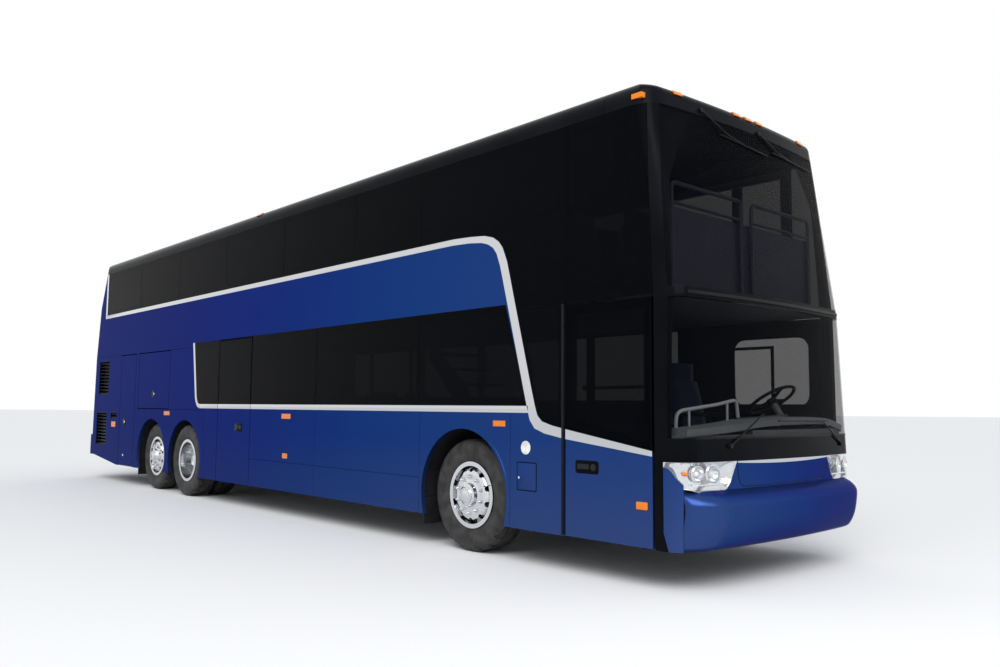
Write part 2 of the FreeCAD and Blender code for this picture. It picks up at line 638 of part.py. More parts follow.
# ---------------------------------------------------------------- roof
ROOF_SPLIT = 5900                # the end caps start here
COVE_Y = 1050                    # the coves start here
roof_shell = SHELL.common(box(TAIL, NOSE, -WIDE, WIDE, CANT_Z, TALL))
HATCHES = [("roof_hatch_front", 2600), ("roof_hatch_rear", -3400)]
hatch_half = S.hatch_size / 2
roof_pieces = [roof_shell.common(box(-ROOF_SPLIT + GAP, ROOF_SPLIT - GAP, -COVE_Y + GAP,
                                     COVE_Y - GAP, CANT_Z, TALL))]
for label, x in HATCHES:
    hole = box(x - hatch_half, x + hatch_half, -hatch_half, hatch_half, CANT_Z, TALL)
    roof_pieces[0] = roof_pieces[0].cut(hole)
cove = roof_shell.common(box(-ROOF_SPLIT + GAP, ROOF_SPLIT - GAP, COVE_Y + GAP, WIDE, 0, TALL))
roof_pieces += [cove, mirrored(cove)]
roof_pieces.append(roof_shell.common(box(ROOF_SPLIT + GAP, NOSE, -WIDE, WIDE, 0, TALL)))
roof_pieces.append(roof_shell.common(box(TAIL, -ROOF_SPLIT - GAP, -WIDE, WIDE, 0, TALL)))
feature("roof_panels", group(roof_pieces))

for label, x in HATCHES:
    lid = doc.addObject("Part::Box", label)
    lid.Label = label
    lid.setExpression("Length", "sizes.hatch_size - 2 * sizes.door_gap")
    lid.setExpression("Width", "sizes.hatch_size - 2 * sizes.door_gap")
    lid.setExpression("Height", "sizes.wall")
    lid.setExpression("Placement.Base.x", "%d - sizes.hatch_size / 2 + sizes.door_gap" % x)
    lid.setExpression("Placement.Base.y", "sizes.door_gap - sizes.hatch_size / 2")
    lid.setExpression("Placement.Base.z", "sizes.roof_height + sizes.hatch_stand - sizes.wall")
    parts[label] = lid

# ---------------------------------------------------------------- floors and structure
WELL = (1250, 2950, 520, SIDE - S.wall - 5)   # stairwell in the upper floor: x, x, y, y
FRONT_WELL_Y = 450                            # inner face of the front wheelhouses
inside = INNER
lower_slab = inside.common(box(S.saloon_rear_x, HALF, -WIDE, WIDE, S.floor_z - S.floor_depth,
                               S.floor_z))
wheel_bay = S.front_arch + S.liner_gap + S.liner
lower_slab = lower_slab.cut(box(S.front_axle_x - wheel_bay, S.front_axle_x + wheel_bay,
                                -WIDE, -FRONT_WELL_Y, 0, TALL))
lower_slab = lower_slab.cut(box(S.front_axle_x - wheel_bay, S.front_axle_x + wheel_bay,
                                FRONT_WELL_Y, WIDE, 0, TALL))
lower_slab = lower_slab.common(box(S.saloon_rear_x, S.door_front_x + 40, -WIDE, WIDE, 0, TALL))
upper_slab = inside.common(box(COLUMN_X - 250, NOSE, -WIDE, WIDE,
                               S.deck_z - S.deck_depth, S.deck_z))
upper_slab = upper_slab.cut(box(WELL[0], WELL[1], WELL[2], WELL[3], 0, TALL))
for x0, x1 in ((S.door_rear_x, S.door_front_x), (S.side_door_rear_x, S.side_door_front_x)):
    doorway = box(x0 - 20, x1 + 20, -WIDE, -SIDE + S.wall + S.door_gap, 0, TALL)
    lower_slab = lower_slab.cut(doorway)
    upper_slab = upper_slab.cut(doorway)
feature("floors", group([lower_slab, upper_slab]))

steps = []
STEP_COUNT = 8
rise = (S.deck_z - S.floor_z) / (STEP_COUNT + 1)
run = (WELL[1] + 150 - WELL[0]) / STEP_COUNT
for number in range(STEP_COUNT):
    front = WELL[1] + 150 - run * number
    steps.append(box(front - run - 30, front, WELL[2] + 30, WELL[3] - 5,
                     S.floor_z + rise * (number + 1) - 35, S.floor_z + rise * (number + 1)))
stringer = [(WELL[1] + 150, S.floor_z), (WELL[1] + 150, S.floor_z + rise),
            (WELL[0] + 5, S.floor_z + rise * (STEP_COUNT + 0.9)),
            (WELL[0] + 5, S.floor_z + rise * (STEP_COUNT - 0.4)), (WELL[1] - 150, S.floor_z)]
steps.append(side_prism(stringer, WELL[2] + 5, WELL[2] + 35))
feature("stairs", join(steps))

BAY_WALL_X = -4400
walls = [
    box(S.saloon_rear_x - 40, S.saloon_rear_x, -SIDE + S.wall, SIDE - S.wall,
        S.floor_z - S.floor_depth, S.deck_z - S.deck_depth),
    box(BAY_WALL_X, S.saloon_rear_x - 40, -SIDE + S.wall, SIDE - S.wall,
        S.bay_floor_z - 40, S.bay_floor_z),
    box(BAY_WALL_X, BAY_WALL_X + 40, -SIDE + S.wall, SIDE - S.wall,
        S.bay_floor_z - 40, S.deck_z - S.deck_depth),
]
feature("bulkheads", join(walls))

ENGINE_X = (-6350, -5000)
engine = doc.addObject("Part::Box", "engine_block")
engine.Label = "engine_block"
for name, value in (("Length", ENGINE_X[1] - ENGINE_X[0]), ("Width", 1050), ("Height", 850)):
    setattr(engine, name, value)
engine.Placement = Placement(Vector(ENGINE_X[0], -525, 560), Rotation())
parts["engine_block"] = engine

beams = []
RAIL_Y = (300, 380)
LOW_RAIL_Z = (S.floor_z - S.floor_depth - 90, S.floor_z - S.floor_depth)
HIGH_RAIL_Z = (1060, S.bay_floor_z - 40)
for side in (RIGHT, LEFT):
    y0, y1 = sorted((side * RAIL_Y[0], side * RAIL_Y[1]))
    beams.append(box(S.saloon_rear_x - 60, S.front_axle_x - 200, y0, y1, *LOW_RAIL_Z))
    beams.append(box(S.front_axle_x + 200, S.door_front_x, y0, y1, *LOW_RAIL_Z))
    beams.append(box(S.front_axle_x - 200, S.front_axle_x + 200, y0, y1,
                     LOW_RAIL_Z[1] - 12, LOW_RAIL_Z[1]))
    beams.append(box(ENGINE_X[1] + 50, S.saloon_rear_x - 40, y0, y1, *HIGH_RAIL_Z))
    y2, y3 = sorted((side * 560, side * 640))
    beams.append(box(-HALF + 230, ENGINE_X[1] + 130, y2, y3, *HIGH_RAIL_Z))
    beams.append(box(S.saloon_rear_x - 100, S.saloon_rear_x - 40, y0, y1, LOW_RAIL_Z[0],
                     HIGH_RAIL_Z[1]))
    beams.append(box(S.door_front_x - 60, HALF - 260, y0 + 20, y1 - 20, 312, 357))
    beams.append(box(-HALF + 65, -HALF + 330, y0 + 20, y1 - 20, 560, 640))
    beams.append(box(-HALF + 230, -HALF + 310, y0 + 20, y1 - 20, 560, HIGH_RAIL_Z[1]))
for x in (-1500, -600, 600, 1800, 3000, 5200, 6200):
    beams.append(box(x - 40, x + 40, -SIDE + S.wall + 10, SIDE - S.wall - 10, LOW_RAIL_Z[0] + 20,
                     LOW_RAIL_Z[1]))
for x in (-2960, ENGINE_X[1] + 90, -HALF + 270):
    beams.append(box(x - 40, x + 40, -640, 640, *HIGH_RAIL_Z))
TOW_EYES = [HALF - 290, -HALF + 110]
TOW_EYE_RADIUS = 16
members = []
for beam in beams:
    for member in members:
        beam = beam.cut(member)
    members.append(beam)
for x in TOW_EYES:
    for side in (RIGHT, LEFT):
        pin = rod((x, side * 340, 250), (x, side * 340, 700), TOW_EYE_RADIUS)
        members = [member.cut(pin) for member in members]
feature("underframe", group(members))

# ---------------------------------------------------------------- wheelhouses
HOUSE = [(S.front_axle_x - 5, S.front_arch, FRONT_WELL_Y), (S.drive_axle_x - 10, S.rear_arch, 575),
         (S.tag_axle_x - 10, S.rear_arch, 780)]


def wheelhouse(x, arch, inner_y, side):
    """Half-round liner with its inner wall, open below."""
    radius = arch + S.liner_gap
    depth = SIDE - S.wall - inner_y
    start = Vector(x, side * inner_y, S.tyre_radius)
    way = Vector(0, side, 0)
    drum = Part.makeCylinder(radius + S.liner, depth, start, way)
    hollow = Part.makeCylinder(radius, depth, start + way * S.liner, way)
    keep = box(x - 2 * radius, x + 2 * radius, -WIDE, WIDE, S.tyre_radius - 60, TALL)
    return drum.cut(hollow).common(keep)


houses = []
for side in (RIGHT, LEFT):
    for x, arch, inner_y in HOUSE:
        shell = wheelhouse(x, arch, inner_y, side)
        axle_hole = Part.makeCylinder(200, 100, Vector(x + 10, side * (inner_y - 20), S.tyre_radius),
                                      Vector(0, side, 0))
        shell = shell.cut(axle_hole)
        if inner_y == FRONT_WELL_Y:
            shell = shell.cut(box(x - 150, x + 150, -WIDE, WIDE, 0, S.tyre_radius))
        houses.append(shell)
    for x, top in ((S.front_axle_x - wheel_bay, S.tyre_radius - 65), (S.tag_axle_x - 645, 600)):
        y0, y1 = sorted((side * 900, side * (SIDE - S.wall)))
        houses.append(box(x, x + 12, y0, y1, 190, top))
feature("wheelhouses", group(houses))

# ---------------------------------------------------------------- axles
HUB_Z = S.tyre_radius
KING_HALF = 90                   # half the height of the kingpin boss


def front_axle():
    pieces = [box(-60, 60, -770, 770, 215, 275)]
    for side in (RIGHT, LEFT):
        y0, y1 = sorted((side * 700, side * 770))
        pieces.append(box(-50, 50, y0, y1, 215, HUB_Z + 40))
        y0, y1 = sorted((side * 760, side * (S.kingpin_track - 20)))
        pieces.append(box(-35, 35, y0, y1, HUB_Z - 40, HUB_Z + 40))
        foot = Vector(0, side * S.kingpin_track, HUB_Z - KING_HALF)
        pieces.append(Part.makeCylinder(48, 2 * KING_HALF, foot))
        foot.z = HUB_Z - 150
        pieces.append(Part.makeCylinder(S.kingpin_radius, 300, foot))
    return join(pieces)


def knuckle(side):
    """Fork round the kingpin boss, with the wheel's spindle and a steering arm."""
    track = S.kingpin_track
    pieces = []
    for low in (HUB_Z - 150, HUB_Z + KING_HALF + 5):
        pieces.append(Part.makeCylinder(55, 55, Vector(0, side * track, low)))
    y0, y1 = sorted((side * (track + 52), side * (track + 80)))
    pieces.append(box(-50, 50, y0, y1, HUB_Z - 150, HUB_Z + 150))
    for low in (HUB_Z - 150, HUB_Z + KING_HALF + 5):
        y0, y1 = sorted((side * track, side * (track + 60)))
        pieces.append(box(-50, 50, y0, y1, low, low + 55))
    tip = S.single_track + 55
    pieces.append(Part.makeCylinder(S.spindle_radius, tip - track - 60,
                                    Vector(0, side * (track + 60), HUB_Z), Vector(0, side, 0)))
    y0, y1 = sorted((side * (track - 130), side * (track - 40)))
    pieces.append(box(-260, 0, y0 + side * 55, y1 + side * 55, HUB_Z + 115, HUB_Z + 145))
    whole = join(pieces)
    return whole.cut(Part.makeCylinder(S.kingpin_radius + S.bore_play, 400,
                                       Vector(0, side * track, HUB_Z - 200)))


def beam_axle(x, beam_half, beam_radius, tip, bulge):
    pieces = [rod((x, -beam_half, HUB_Z), (x, beam_half, HUB_Z), beam_radius),
              rod((x, -tip, HUB_Z), (x, tip, HUB_Z), S.spindle_radius)]
    if bulge:
        pieces.append(Part.makeSphere(bulge, Vector(x, 0, HUB_Z)))
    for side in (RIGHT, LEFT):
        y0, y1 = sorted((side * (RAIL_Y[0] + 5), side * (RAIL_Y[1] - 5)))
        pieces.append(box(x - 60, x + 60, y0, y1, HUB_Z, HIGH_RAIL_Z[0]))
    return join(pieces)


HUB_BORE_END = 70                # where the bore of a single wheel ends, outwards from its middle
front_axle_place = Placement(Vector(S.front_axle_x, 0, 0), Rotation())
feature("front_axle", front_axle(), front_axle_place)
feature("knuckle_right", knuckle(RIGHT), front_axle_place)
feature("knuckle_left", knuckle(LEFT), front_axle_place)
feature("drive_axle", beam_axle(S.drive_axle_x, 560, 80, S.twin_track - 95, 210))
feature("tag_axle", beam_axle(S.tag_axle_x, S.single_track - 175, 60, S.single_track + 55, 0))


# ---------------------------------------------------------------- wheels
def revolved(body, points, name):
    """Revolve a closed outline (across, radius) about the wheel's own axle."""
    plane = [item for item in body.Origin.OriginFeatures if item.Role == "YZ_Plane"][0]
    sketch = body.newObject("Sketcher::SketchObject", name + "_outline")
    sketch.AttachmentSupport = (plane, [""])
    sketch.MapMode = "FlatFace"
    ring = list(points) + [points[0]]
    for a, b in zip(ring, ring[1:]):
        sketch.addGeometry(Part.LineSegment(Vector(a[0], a[1], 0), Vector(b[0], b[1], 0)), False)
    turn = body.newObject("PartDesign::Revolution", name + "_turn")
    turn.Profile = sketch
    turn.ReferenceAxis = (sketch, ["H_Axis"])
    turn.Angle = 360
    return turn


def wheel_body(label, x, y):
    body = doc.addObject("PartDesign::Body", label)
    body.Label = label
    body.Placement = Placement(Vector(x, y, HUB_Z), Rotation())
    parts[label] = body
    return body


def tyre_points(middle):
    half = S.tyre_width / 2
    seat = S.rim_width / 2 - 16
    return [(middle + across, radius) for across, radius in (
        (-seat, S.rim_radius), (seat, S.rim_radius), (seat, S.flange_radius + 6),
        (half - 6, S.flange_radius + 75), (half, S.tyre_radius - 110), (half - 12, S.tyre_radius - 32),
        (half - 32, S.tyre_radius - 6), (half - 60, S.tyre_radius), (60 - half, S.tyre_radius),
        (32 - half, S.tyre_radius - 6), (12 - half, S.tyre_radius - 32), (-half, S.tyre_radius - 110),
        (6 - half, S.flange_radius + 75), (-seat, S.flange_radius + 6))]


def rim_points(side, hub_tail):
    """Closed section of a disc wheel: barrel, proud disc and hub; across runs outwards."""
    half = S.rim_width / 2
    bore = S.spindle_radius + S.bore_play
    seat = S.rim_radius
    face = half + 9
    outline = [
        (half, seat - 22), (half, S.flange_radius), (half - 14, S.flange_radius), (half - 14, seat),
        (14 - half, seat), (14 - half, S.flange_radius), (-half, S.flange_radius),
        (-half, seat - 22), (face - 130, seat - 22), (face - 118, seat - 34), (face - 74, 246),
        (face - 28, 216),
        (face - 14, 190), (face - 14, 150), (face - 40, 130), (hub_tail, 130), (hub_tail, bore),
        (HUB_BORE_END, bore), (HUB_BORE_END, 0), (face + 45, 0), (face + 45, 80),
        (face + 35, 100), (face + 6, 112), (face, 140), (face, 194), (face - 12, 226),
        (face - 62, 260), (face - 84, seat - 22)]
    return [(side * across, radius) for across, radius in outline]


def drill_ring(body, turn, name):
    """The ring of hand holes through the wheel disc."""
    plane = [item for item in body.Origin.OriginFeatures if item.Role == "XZ_Plane"][0]
    sketch = body.newObject("Sketcher::SketchObject", name + "_hole")
    sketch.AttachmentSupport = (plane, [""])
    sketch.MapMode = "FlatFace"
    sketch.addGeometry(Part.Circle(Vector(0, S.hand_hole_circle, 0), Vector(0, 0, 1),
                                   S.hand_hole_radius), False)
    pocket = body.newObject("PartDesign::Pocket", name + "_pocket")
    pocket.Profile = sketch
    pocket.Type = 1
    pocket.Midplane = True
    axis = [item for item in body.Origin.OriginFeatures if item.Role == "Y_Axis"][0]
    ring = body.newObject("PartDesign::PolarPattern", name + "_ring")
    ring.Originals = [pocket]
    ring.Axis = (axis, [""])
    ring.Angle = 360
    ring.setExpression("Occurrences", "sizes.hand_holes")
    body.Tip = ring
    return ring


def twin_rim_points(side, hub_tail):
    """Closed section of two disc wheels bolted back to back on one hub."""
    hub_tip = 20
    half = S.rim_width / 2
    bore = S.spindle_radius + S.bore_play
    seat = S.rim_radius
    inner = -S.twin_pitch
    middle = inner / 2
    outline = [
        (half, seat - 22), (half, S.flange_radius), (half - 14, S.flange_radius), (half - 14, seat),
        (14 - half, seat), (14 - half, S.flange_radius), (-half, S.flange_radius), (-half, seat - 22),
        (middle + 12, 250), (middle - 12, 250), (inner + half, seat - 22),
        (inner + half, S.flange_radius), (inner + half - 14, S.flange_radius),
        (inner + half - 14, seat), (inner + 14 - half, seat), (inner + 14 - half, S.flange_radius),
        (inner - half, S.flange_radius), (inner - half, seat - 22), (inner + half - 30, seat - 36),
        (middle - 26, 235), (middle - 26, 150), (hub_tail, 130), (hub_tail, bore),
        (hub_tip - 30, bore), (hub_tip - 30, 0), (hub_tip, 0), (hub_tip, 70), (hub_tip - 12, 95),
        (middle + 50, 110), (middle + 30, 150), (middle + 30, 235), (30 - half, seat - 36)]
    return [(side * across, radius) for across, radius in outline]


AXLES = [
    # name, x, middle of the tyre, inner end of the hub (outwards from the middle)
    ("front", S.front_axle_x, S.single_track, -70),
    ("drive", S.drive_axle_x, S.twin_track, -250),
    ("tag", S.tag_axle_x, S.single_track, -150),
]
for name, x, track, hub_tail in AXLES:
    for side, side_name in SIDES:
        place = "%s_%s" % (name, side_name)
        tyre = wheel_body("tyre_" + place, x, side * track)
        tyre.Tip = revolved(tyre, tyre_points(0), "tyre_" + place)
        if name == "drive":
            inner_tyre = wheel_body("inner_tyre_" + place, x, side * (track - S.twin_pitch))
            inner_tyre.Tip = revolved(inner_tyre, tyre_points(0), "inner_tyre_" + place)
            pair = doc.addObject("Part::Compound", "tyre_pair_" + place)
            pair.Links = [tyre, inner_tyre]
            del parts["inner_tyre_" + place]
            parts["tyre_" + place] = pair
        rim = wheel_body("rim_" + place, x, side * track)
        section = rim_points(side, hub_tail)
        if name == "drive":
            section = twin_rim_points(side, hub_tail)
        turn = revolved(rim, section, "rim_" + place)
        drill_ring(rim, turn, "rim_" + place)

# ---------------------------------------------------------------- saloon

def seat(x, y0, y1, floor):
    """Double seat facing forward: base, cushion and a raked back."""
    outline = [(x + 60, floor), (x + 60, floor + 300), (x - 10, floor + 330), (x - 190, floor + 1080),
               (x - 110, floor + 1120), (x + 60, floor + 470), (x + 470, floor + 480),
               (x + 470, floor + 330), (x + 360, floor + 300), (x + 360, floor)]
    return side_prism(outline, y0, y1)


AISLE = 230                      # half the aisle
upper_seats = []
FIRST_ROW_X = 4950
for row in range(int(S.upper_rows)):
    x = FIRST_ROW_X - row * S.seat_pitch
    for side in (RIGHT, LEFT):
        if side == LEFT and WELL[0] - 600 < x < WELL[1] + 250:
            continue
        y0, y1 = sorted((side * AISLE, side * (AISLE + S.seat_width)))
        upper_seats.append(seat(x, y0, y1, S.deck_z))
feature("upper_seats", group(upper_seats))
lower_seats = []
for side, places in ((RIGHT, (2500, 1700, 900, 100)), (LEFT, (500, -300, -1100))):
    for x in places:
        y0, y1 = sorted((side * AISLE, side * (AISLE + S.seat_width)))
        lower_seats.append(seat(x, y0, y1, S.floor_z))
DRIVER_Y = 700
PLATFORM_Z = 700
lower_seats.append(seat(5300, DRIVER_Y - 250, DRIVER_Y + 250, PLATFORM_Z))
feature("lower_seats", group(lower_seats))

WHEEL_TILT = 57                  # steering wheel's axis from level
WHEEL_CENTRE = Vector(6180, DRIVER_Y, 1420)
COLUMN_RUN = Vector(math.cos(math.radians(WHEEL_TILT)), 0, -math.sin(math.radians(WHEEL_TILT)))
DASH_TOP_Z = 1190
DASH_FOOT_Z = BUMPER_SECTIONS[-1][0] + 25
DASH_REAR_X = 6150
LEDGE_X = S.door_front_x + 33    # the dashboard's ledge ahead of the entrance
PLATFORM_X = (4900, DASH_REAR_X + 300)
dash_outline = [(PLATFORM_X[1], PLATFORM_Z), (PLATFORM_X[1], DASH_FOOT_Z),
                (NOSE, DASH_FOOT_Z), (NOSE, DASH_TOP_Z - 50),
                (DASH_REAR_X + 260, DASH_TOP_Z),
                (DASH_REAR_X + 60, DASH_TOP_Z - 50), (DASH_REAR_X, DASH_TOP_Z - 160),
                (DASH_REAR_X + 140, DASH_TOP_Z - 200), (DASH_REAR_X + 200, PLATFORM_Z)]
dash = side_prism(dash_outline, -400, SIDE).common(inside)
ledge = box(LEDGE_X, NOSE, -SIDE, 0, DASH_TOP_Z - 120, DASH_TOP_Z - 50).common(inside)
platform = box(*PLATFORM_X, 120, SIDE - S.wall, PLATFORM_Z - 40, PLATFORM_Z).common(inside)
riser = box(*PLATFORM_X, 120, 160, S.floor_z, PLATFORM_Z - 40)
column_rod = rod(tuple(WHEEL_CENTRE + COLUMN_RUN * 420), tuple(WHEEL_CENTRE + COLUMN_RUN * 46), 30)
feature("dashboard", join([dash, ledge, platform, riser, column_rod]))


def hoop(side):
    """Grab loop behind the upper windscreen."""
    x = PARAPET_X + 30
    y0, y1 = side * 85, side * 1050
    low, high = S.deck_z + 678, S.deck_z + 838
    corner = 50
    bend = corner * (1 - math.sqrt(0.5))
    inward = side * corner
    corners = [Vector(x, y0, S.deck_z), Vector(x, y0, high - corner), Vector(x, y0 + inward, high),
               Vector(x, y1 - inward, high), Vector(x, y1, high - corner), Vector(x, y1, S.deck_z)]
    path = Part.Wire([
        Part.makeLine(corners[0], corners[1]),
        Part.Arc(corners[1], Vector(x, y0 + side * bend, high - bend), corners[2]).toShape(),
        Part.makeLine(corners[2], corners[3]),
        Part.Arc(corners[3], Vector(x, y1 - side * bend, high - bend), corners[4]).toShape(),
        Part.makeLine(corners[4], corners[5]),
    ])
    ring = Part.Wire([Part.makeCircle(RAIL_RADIUS, corners[0], Vector(0, 0, 1))])
    loop = path.makePipeShell([ring], True, True)
    return loop.fuse(rod((x, y0, low), (x, y1, low), RAIL_RADIUS - 4)).removeSplitter()


RAIL_RADIUS = 16
PARAPET_X = 6352                 # front panel of the upper deck
parapet = box(PARAPET_X - 8, PARAPET_X + 10, -1080, 1080, S.deck_z, S.deck_z + 650)
feature("handrails", group([hoop(RIGHT), hoop(LEFT), parapet]))

# ---------------------------------------------------------------- steering wheel
steer = Part.makeTorus(225, 15)
steer = steer.fuse(Part.makeCylinder(45, 50, Vector(0, 0, -40)))
for turn in (90, 210, 330):
    spoke = box(0, 220, -18, 18, -10, 5)
    spoke.rotate(Vector(0, 0, 0), Vector(0, 0, 1), turn)
    steer = steer.fuse(spoke)
wheel_place = Placement(WHEEL_CENTRE, Rotation(Vector(0, 1, 0), WHEEL_TILT - 90))
feature("steering_wheel", steer.removeSplitter(), wheel_place)

# ---------------------------------------------------------------- doors
gap = S.entrance_gap
door_x = (S.door_rear_x + gap, S.door_front_x - gap)
door_z = (S.skirt_z + 5, S.deck_seam_z - 10)
leaf = slab(oblong(door_x[0], door_x[1], *door_z), RIGHT)
glazed = [(door_x[0] + 15, sill_at(door_x[0])), (door_x[1] - 15, sill_at(door_x[1])),
          (door_x[1] - 15, door_z[1] - 15), (door_x[0] + 15, door_z[1] - 15)]
sight = [(door_x[0] + 80, sill_at(door_x[0]) + 70), (door_x[1] - 80, sill_at(door_x[1]) + 70),
         (door_x[1] - 80, door_z[1] - 80), (door_x[0] + 80, door_z[1] - 80)]
leaf = leaf.cut(slab(glazed, RIGHT, -1, S.glass)).cut(slab(sight, RIGHT, 0, S.wall + 1))
feature("entrance_door", leaf)
feature("entrance_door_glass", slab(glazed, RIGHT, 0, S.glass))
ARM_PIVOT = (6300, -(SIDE - S.wall - 55))
ARM_END = (ARM_PIVOT[0] - S.arm_reach, -(SIDE - S.wall - 28))
arm = rod((ARM_PIVOT[0], ARM_PIVOT[1], S.floor_z + 5), (ARM_PIVOT[0], ARM_PIVOT[1], 1900), 20)
for z in (620, 1500):
    arm = arm.fuse(rod((ARM_PIVOT[0], ARM_PIVOT[1], z), (ARM_END[0], ARM_END[1], z), 14))
    arm = arm.fuse(rod((ARM_END[0], ARM_END[1], z - 20), (ARM_END[0], ARM_END[1], z + 20), 18))
feature("entrance_door_arm", arm.removeSplitter())

gap = S.door_gap
side_x = (S.side_door_rear_x + gap, S.side_door_front_x - gap)
side_z = (S.skirt_z, S.header_z - gap)
leaf = slab(oblong(side_x[0], side_x[1], *side_z), RIGHT)
side_pane = oblong(side_x[0] + 15, side_x[1] - 15, S.waist_z, side_z[1] - 15)
side_sight = oblong(side_x[0] + 80, side_x[1] - 80, S.waist_z + 70, side_z[1] - 90)
leaf = leaf.cut(slab(side_pane, RIGHT, -1, S.glass)).cut(slab(side_sight, RIGHT, 0, S.wall + 1))
feature("side_door", leaf)
feature("side_door_glass", slab(side_pane, RIGHT, 0, S.glass))

for side, side_name in SIDES:
    lid = slab(oblong(LOCKER_REAR_X + gap, LOCKER_FRONT_X - gap, S.locker_z + gap,
                      LOCKER_TOP - gap), side)
    feature("luggage_door_" + side_name, lid)
    lid = slab(oblong(SERVICE_REAR_X + gap, SERVICE_FRONT_X - gap, S.skirt_z + 5,
                      LOCKER_TOP - gap), side)
    feature("service_door_" + side_name, lid)

# ---------------------------------------------------------------- marker lamps
# x, z, length, height of each side lamp
SIDE_LAMPS = [(783, 1207, 220, 60), (777, 727, 120, 60), (4673, 1193, 160, 50),
              (-3007, 1207, 220, 60), (-5417, 993, 200, 90)]
lamps = []
for side in (RIGHT, LEFT):
    for x, z, length, height in SIDE_LAMPS:
        lamps.append(slab(oblong(x - length / 2, x + length / 2, z - height / 2, z + height / 2),
                          side, -S.lamp_stand, 0))
PROUD = body_form(-12).cut(OUTER)
for y in (-947, -175, 0, 175, 947):
    lamps.append(PROUD.common(box(DROOP_X, NOSE, y - 45, y + 45, S.roof_height - 130,
                                 S.roof_height - 95)))
for side in (RIGHT, LEFT):
    y0, y1 = sorted((side * 1150, side * WIDE))
    y2, y3 = sorted((side * 1150, side * (SIDE + S.lamp_stand)))
    lamps.append(box(HALF - 670, HALF - 570, y2, y3, S.roof_height - 200,
                    S.roof_height - 160).cut(OUTER))
    lamps.append(PROUD.common(box(-260, -140, y0, y1, S.roof_height - 85,
                                 S.roof_height - 50)))
feature("marker_lamps", group(lamps))

# ---------------------------------------------------------------- check and write
doc.recompute()
for item in doc.Objects:
    if "Invalid" in item.State or "Error" in item.State:
        raise RuntimeError("%s failed to build" % item.Label)
os.makedirs("parts", exist_ok=True)
for label, made in parts.items():
    shape = made.Shape
    if shape.isNull() or not shape.isValid() or not shape.Solids:
        raise RuntimeError("%s has no sound solid" % label)
    shape.exportStep("parts/%s.step" % label)
    print(label, len(shape.Solids), [round(value) for value in (
        shape.BoundBox.XMin, shape.BoundBox.XMax, shape.BoundBox.YMin, shape.BoundBox.YMax,
        shape.BoundBox.ZMin, shape.BoundBox.ZMax)])
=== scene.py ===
"""Looks of the double-deck coach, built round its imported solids.

+X is forward, +Y the driver's side and +Z up, in metres.
"""
import json
import math

import bmesh
import bpy
from mathutils import Matrix, Vector
from mathutils.bvhtree import BVHTree


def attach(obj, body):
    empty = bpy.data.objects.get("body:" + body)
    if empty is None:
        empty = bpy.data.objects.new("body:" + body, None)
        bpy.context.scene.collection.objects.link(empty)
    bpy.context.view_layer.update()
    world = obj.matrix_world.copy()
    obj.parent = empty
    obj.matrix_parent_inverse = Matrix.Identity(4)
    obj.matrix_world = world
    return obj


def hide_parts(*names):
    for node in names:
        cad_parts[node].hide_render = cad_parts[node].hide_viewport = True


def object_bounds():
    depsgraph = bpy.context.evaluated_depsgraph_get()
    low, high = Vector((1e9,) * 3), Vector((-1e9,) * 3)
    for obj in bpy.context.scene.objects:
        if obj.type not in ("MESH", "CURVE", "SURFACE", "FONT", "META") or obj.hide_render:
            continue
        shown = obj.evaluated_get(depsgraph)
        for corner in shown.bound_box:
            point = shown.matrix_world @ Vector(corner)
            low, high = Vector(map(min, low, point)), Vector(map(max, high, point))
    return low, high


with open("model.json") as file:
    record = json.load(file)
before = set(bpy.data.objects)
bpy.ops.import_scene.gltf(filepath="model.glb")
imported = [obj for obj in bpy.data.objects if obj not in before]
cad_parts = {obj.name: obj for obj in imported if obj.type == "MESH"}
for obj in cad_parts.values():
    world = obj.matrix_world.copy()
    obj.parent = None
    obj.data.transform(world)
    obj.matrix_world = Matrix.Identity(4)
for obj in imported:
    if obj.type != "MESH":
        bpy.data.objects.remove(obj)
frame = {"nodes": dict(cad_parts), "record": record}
cad_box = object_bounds()
nodes = frame["nodes"]

RIGHT, LEFT = -1, 1
SIDES = ((RIGHT, "right"), (LEFT, "left"))
FACE_Y = 1.29  # flat outer face of the side panels
SILL = ((5.463, 1.165), (6.387, 1.017))  # upper edge of the strip under the front side glass
SIDE_DOOR_SPAN = (-1.171, -0.189)
SIDE_DOOR_BLACK = 1.33  # the side door is black above this height


# ---- finishes
BLEND = (0.35, 0.65)  # where the noise starts and ends its change of colour
# painted reflection of the ground on the lower paint: its colour, how much of it, and where it
# fades
GROUND_REFLECTION = (0.11, 0.13, 0.19)
GROUND_REFLECTION_FADES = (0.28, 1.05)  # heights between which the painted reflection of the ground thins out
GROUND_REFLECTION_COVER = 0.2
ABOVE_LINE = (0.0025, 0.003, 0.004)
PANE_TINT = (0.0018, 0.0022, 0.0034)


def add_node(tree, kind, sockets=None, **choices):
    """A node with its choices made and its sockets set or linked; gives its outputs."""
    made = tree.nodes.new("ShaderNode" + kind)
    for name, choice in choices.items():
        setattr(made, name, choice)
    for name, value in (sockets or {}).items():
        if isinstance(value, bpy.types.NodeSocket):
            tree.links.new(value, made.inputs[name])
        else:
            made.inputs[name].default_value = value
    return made.outputs


def times(color, factor):
    return tuple(factor * value for value in color)


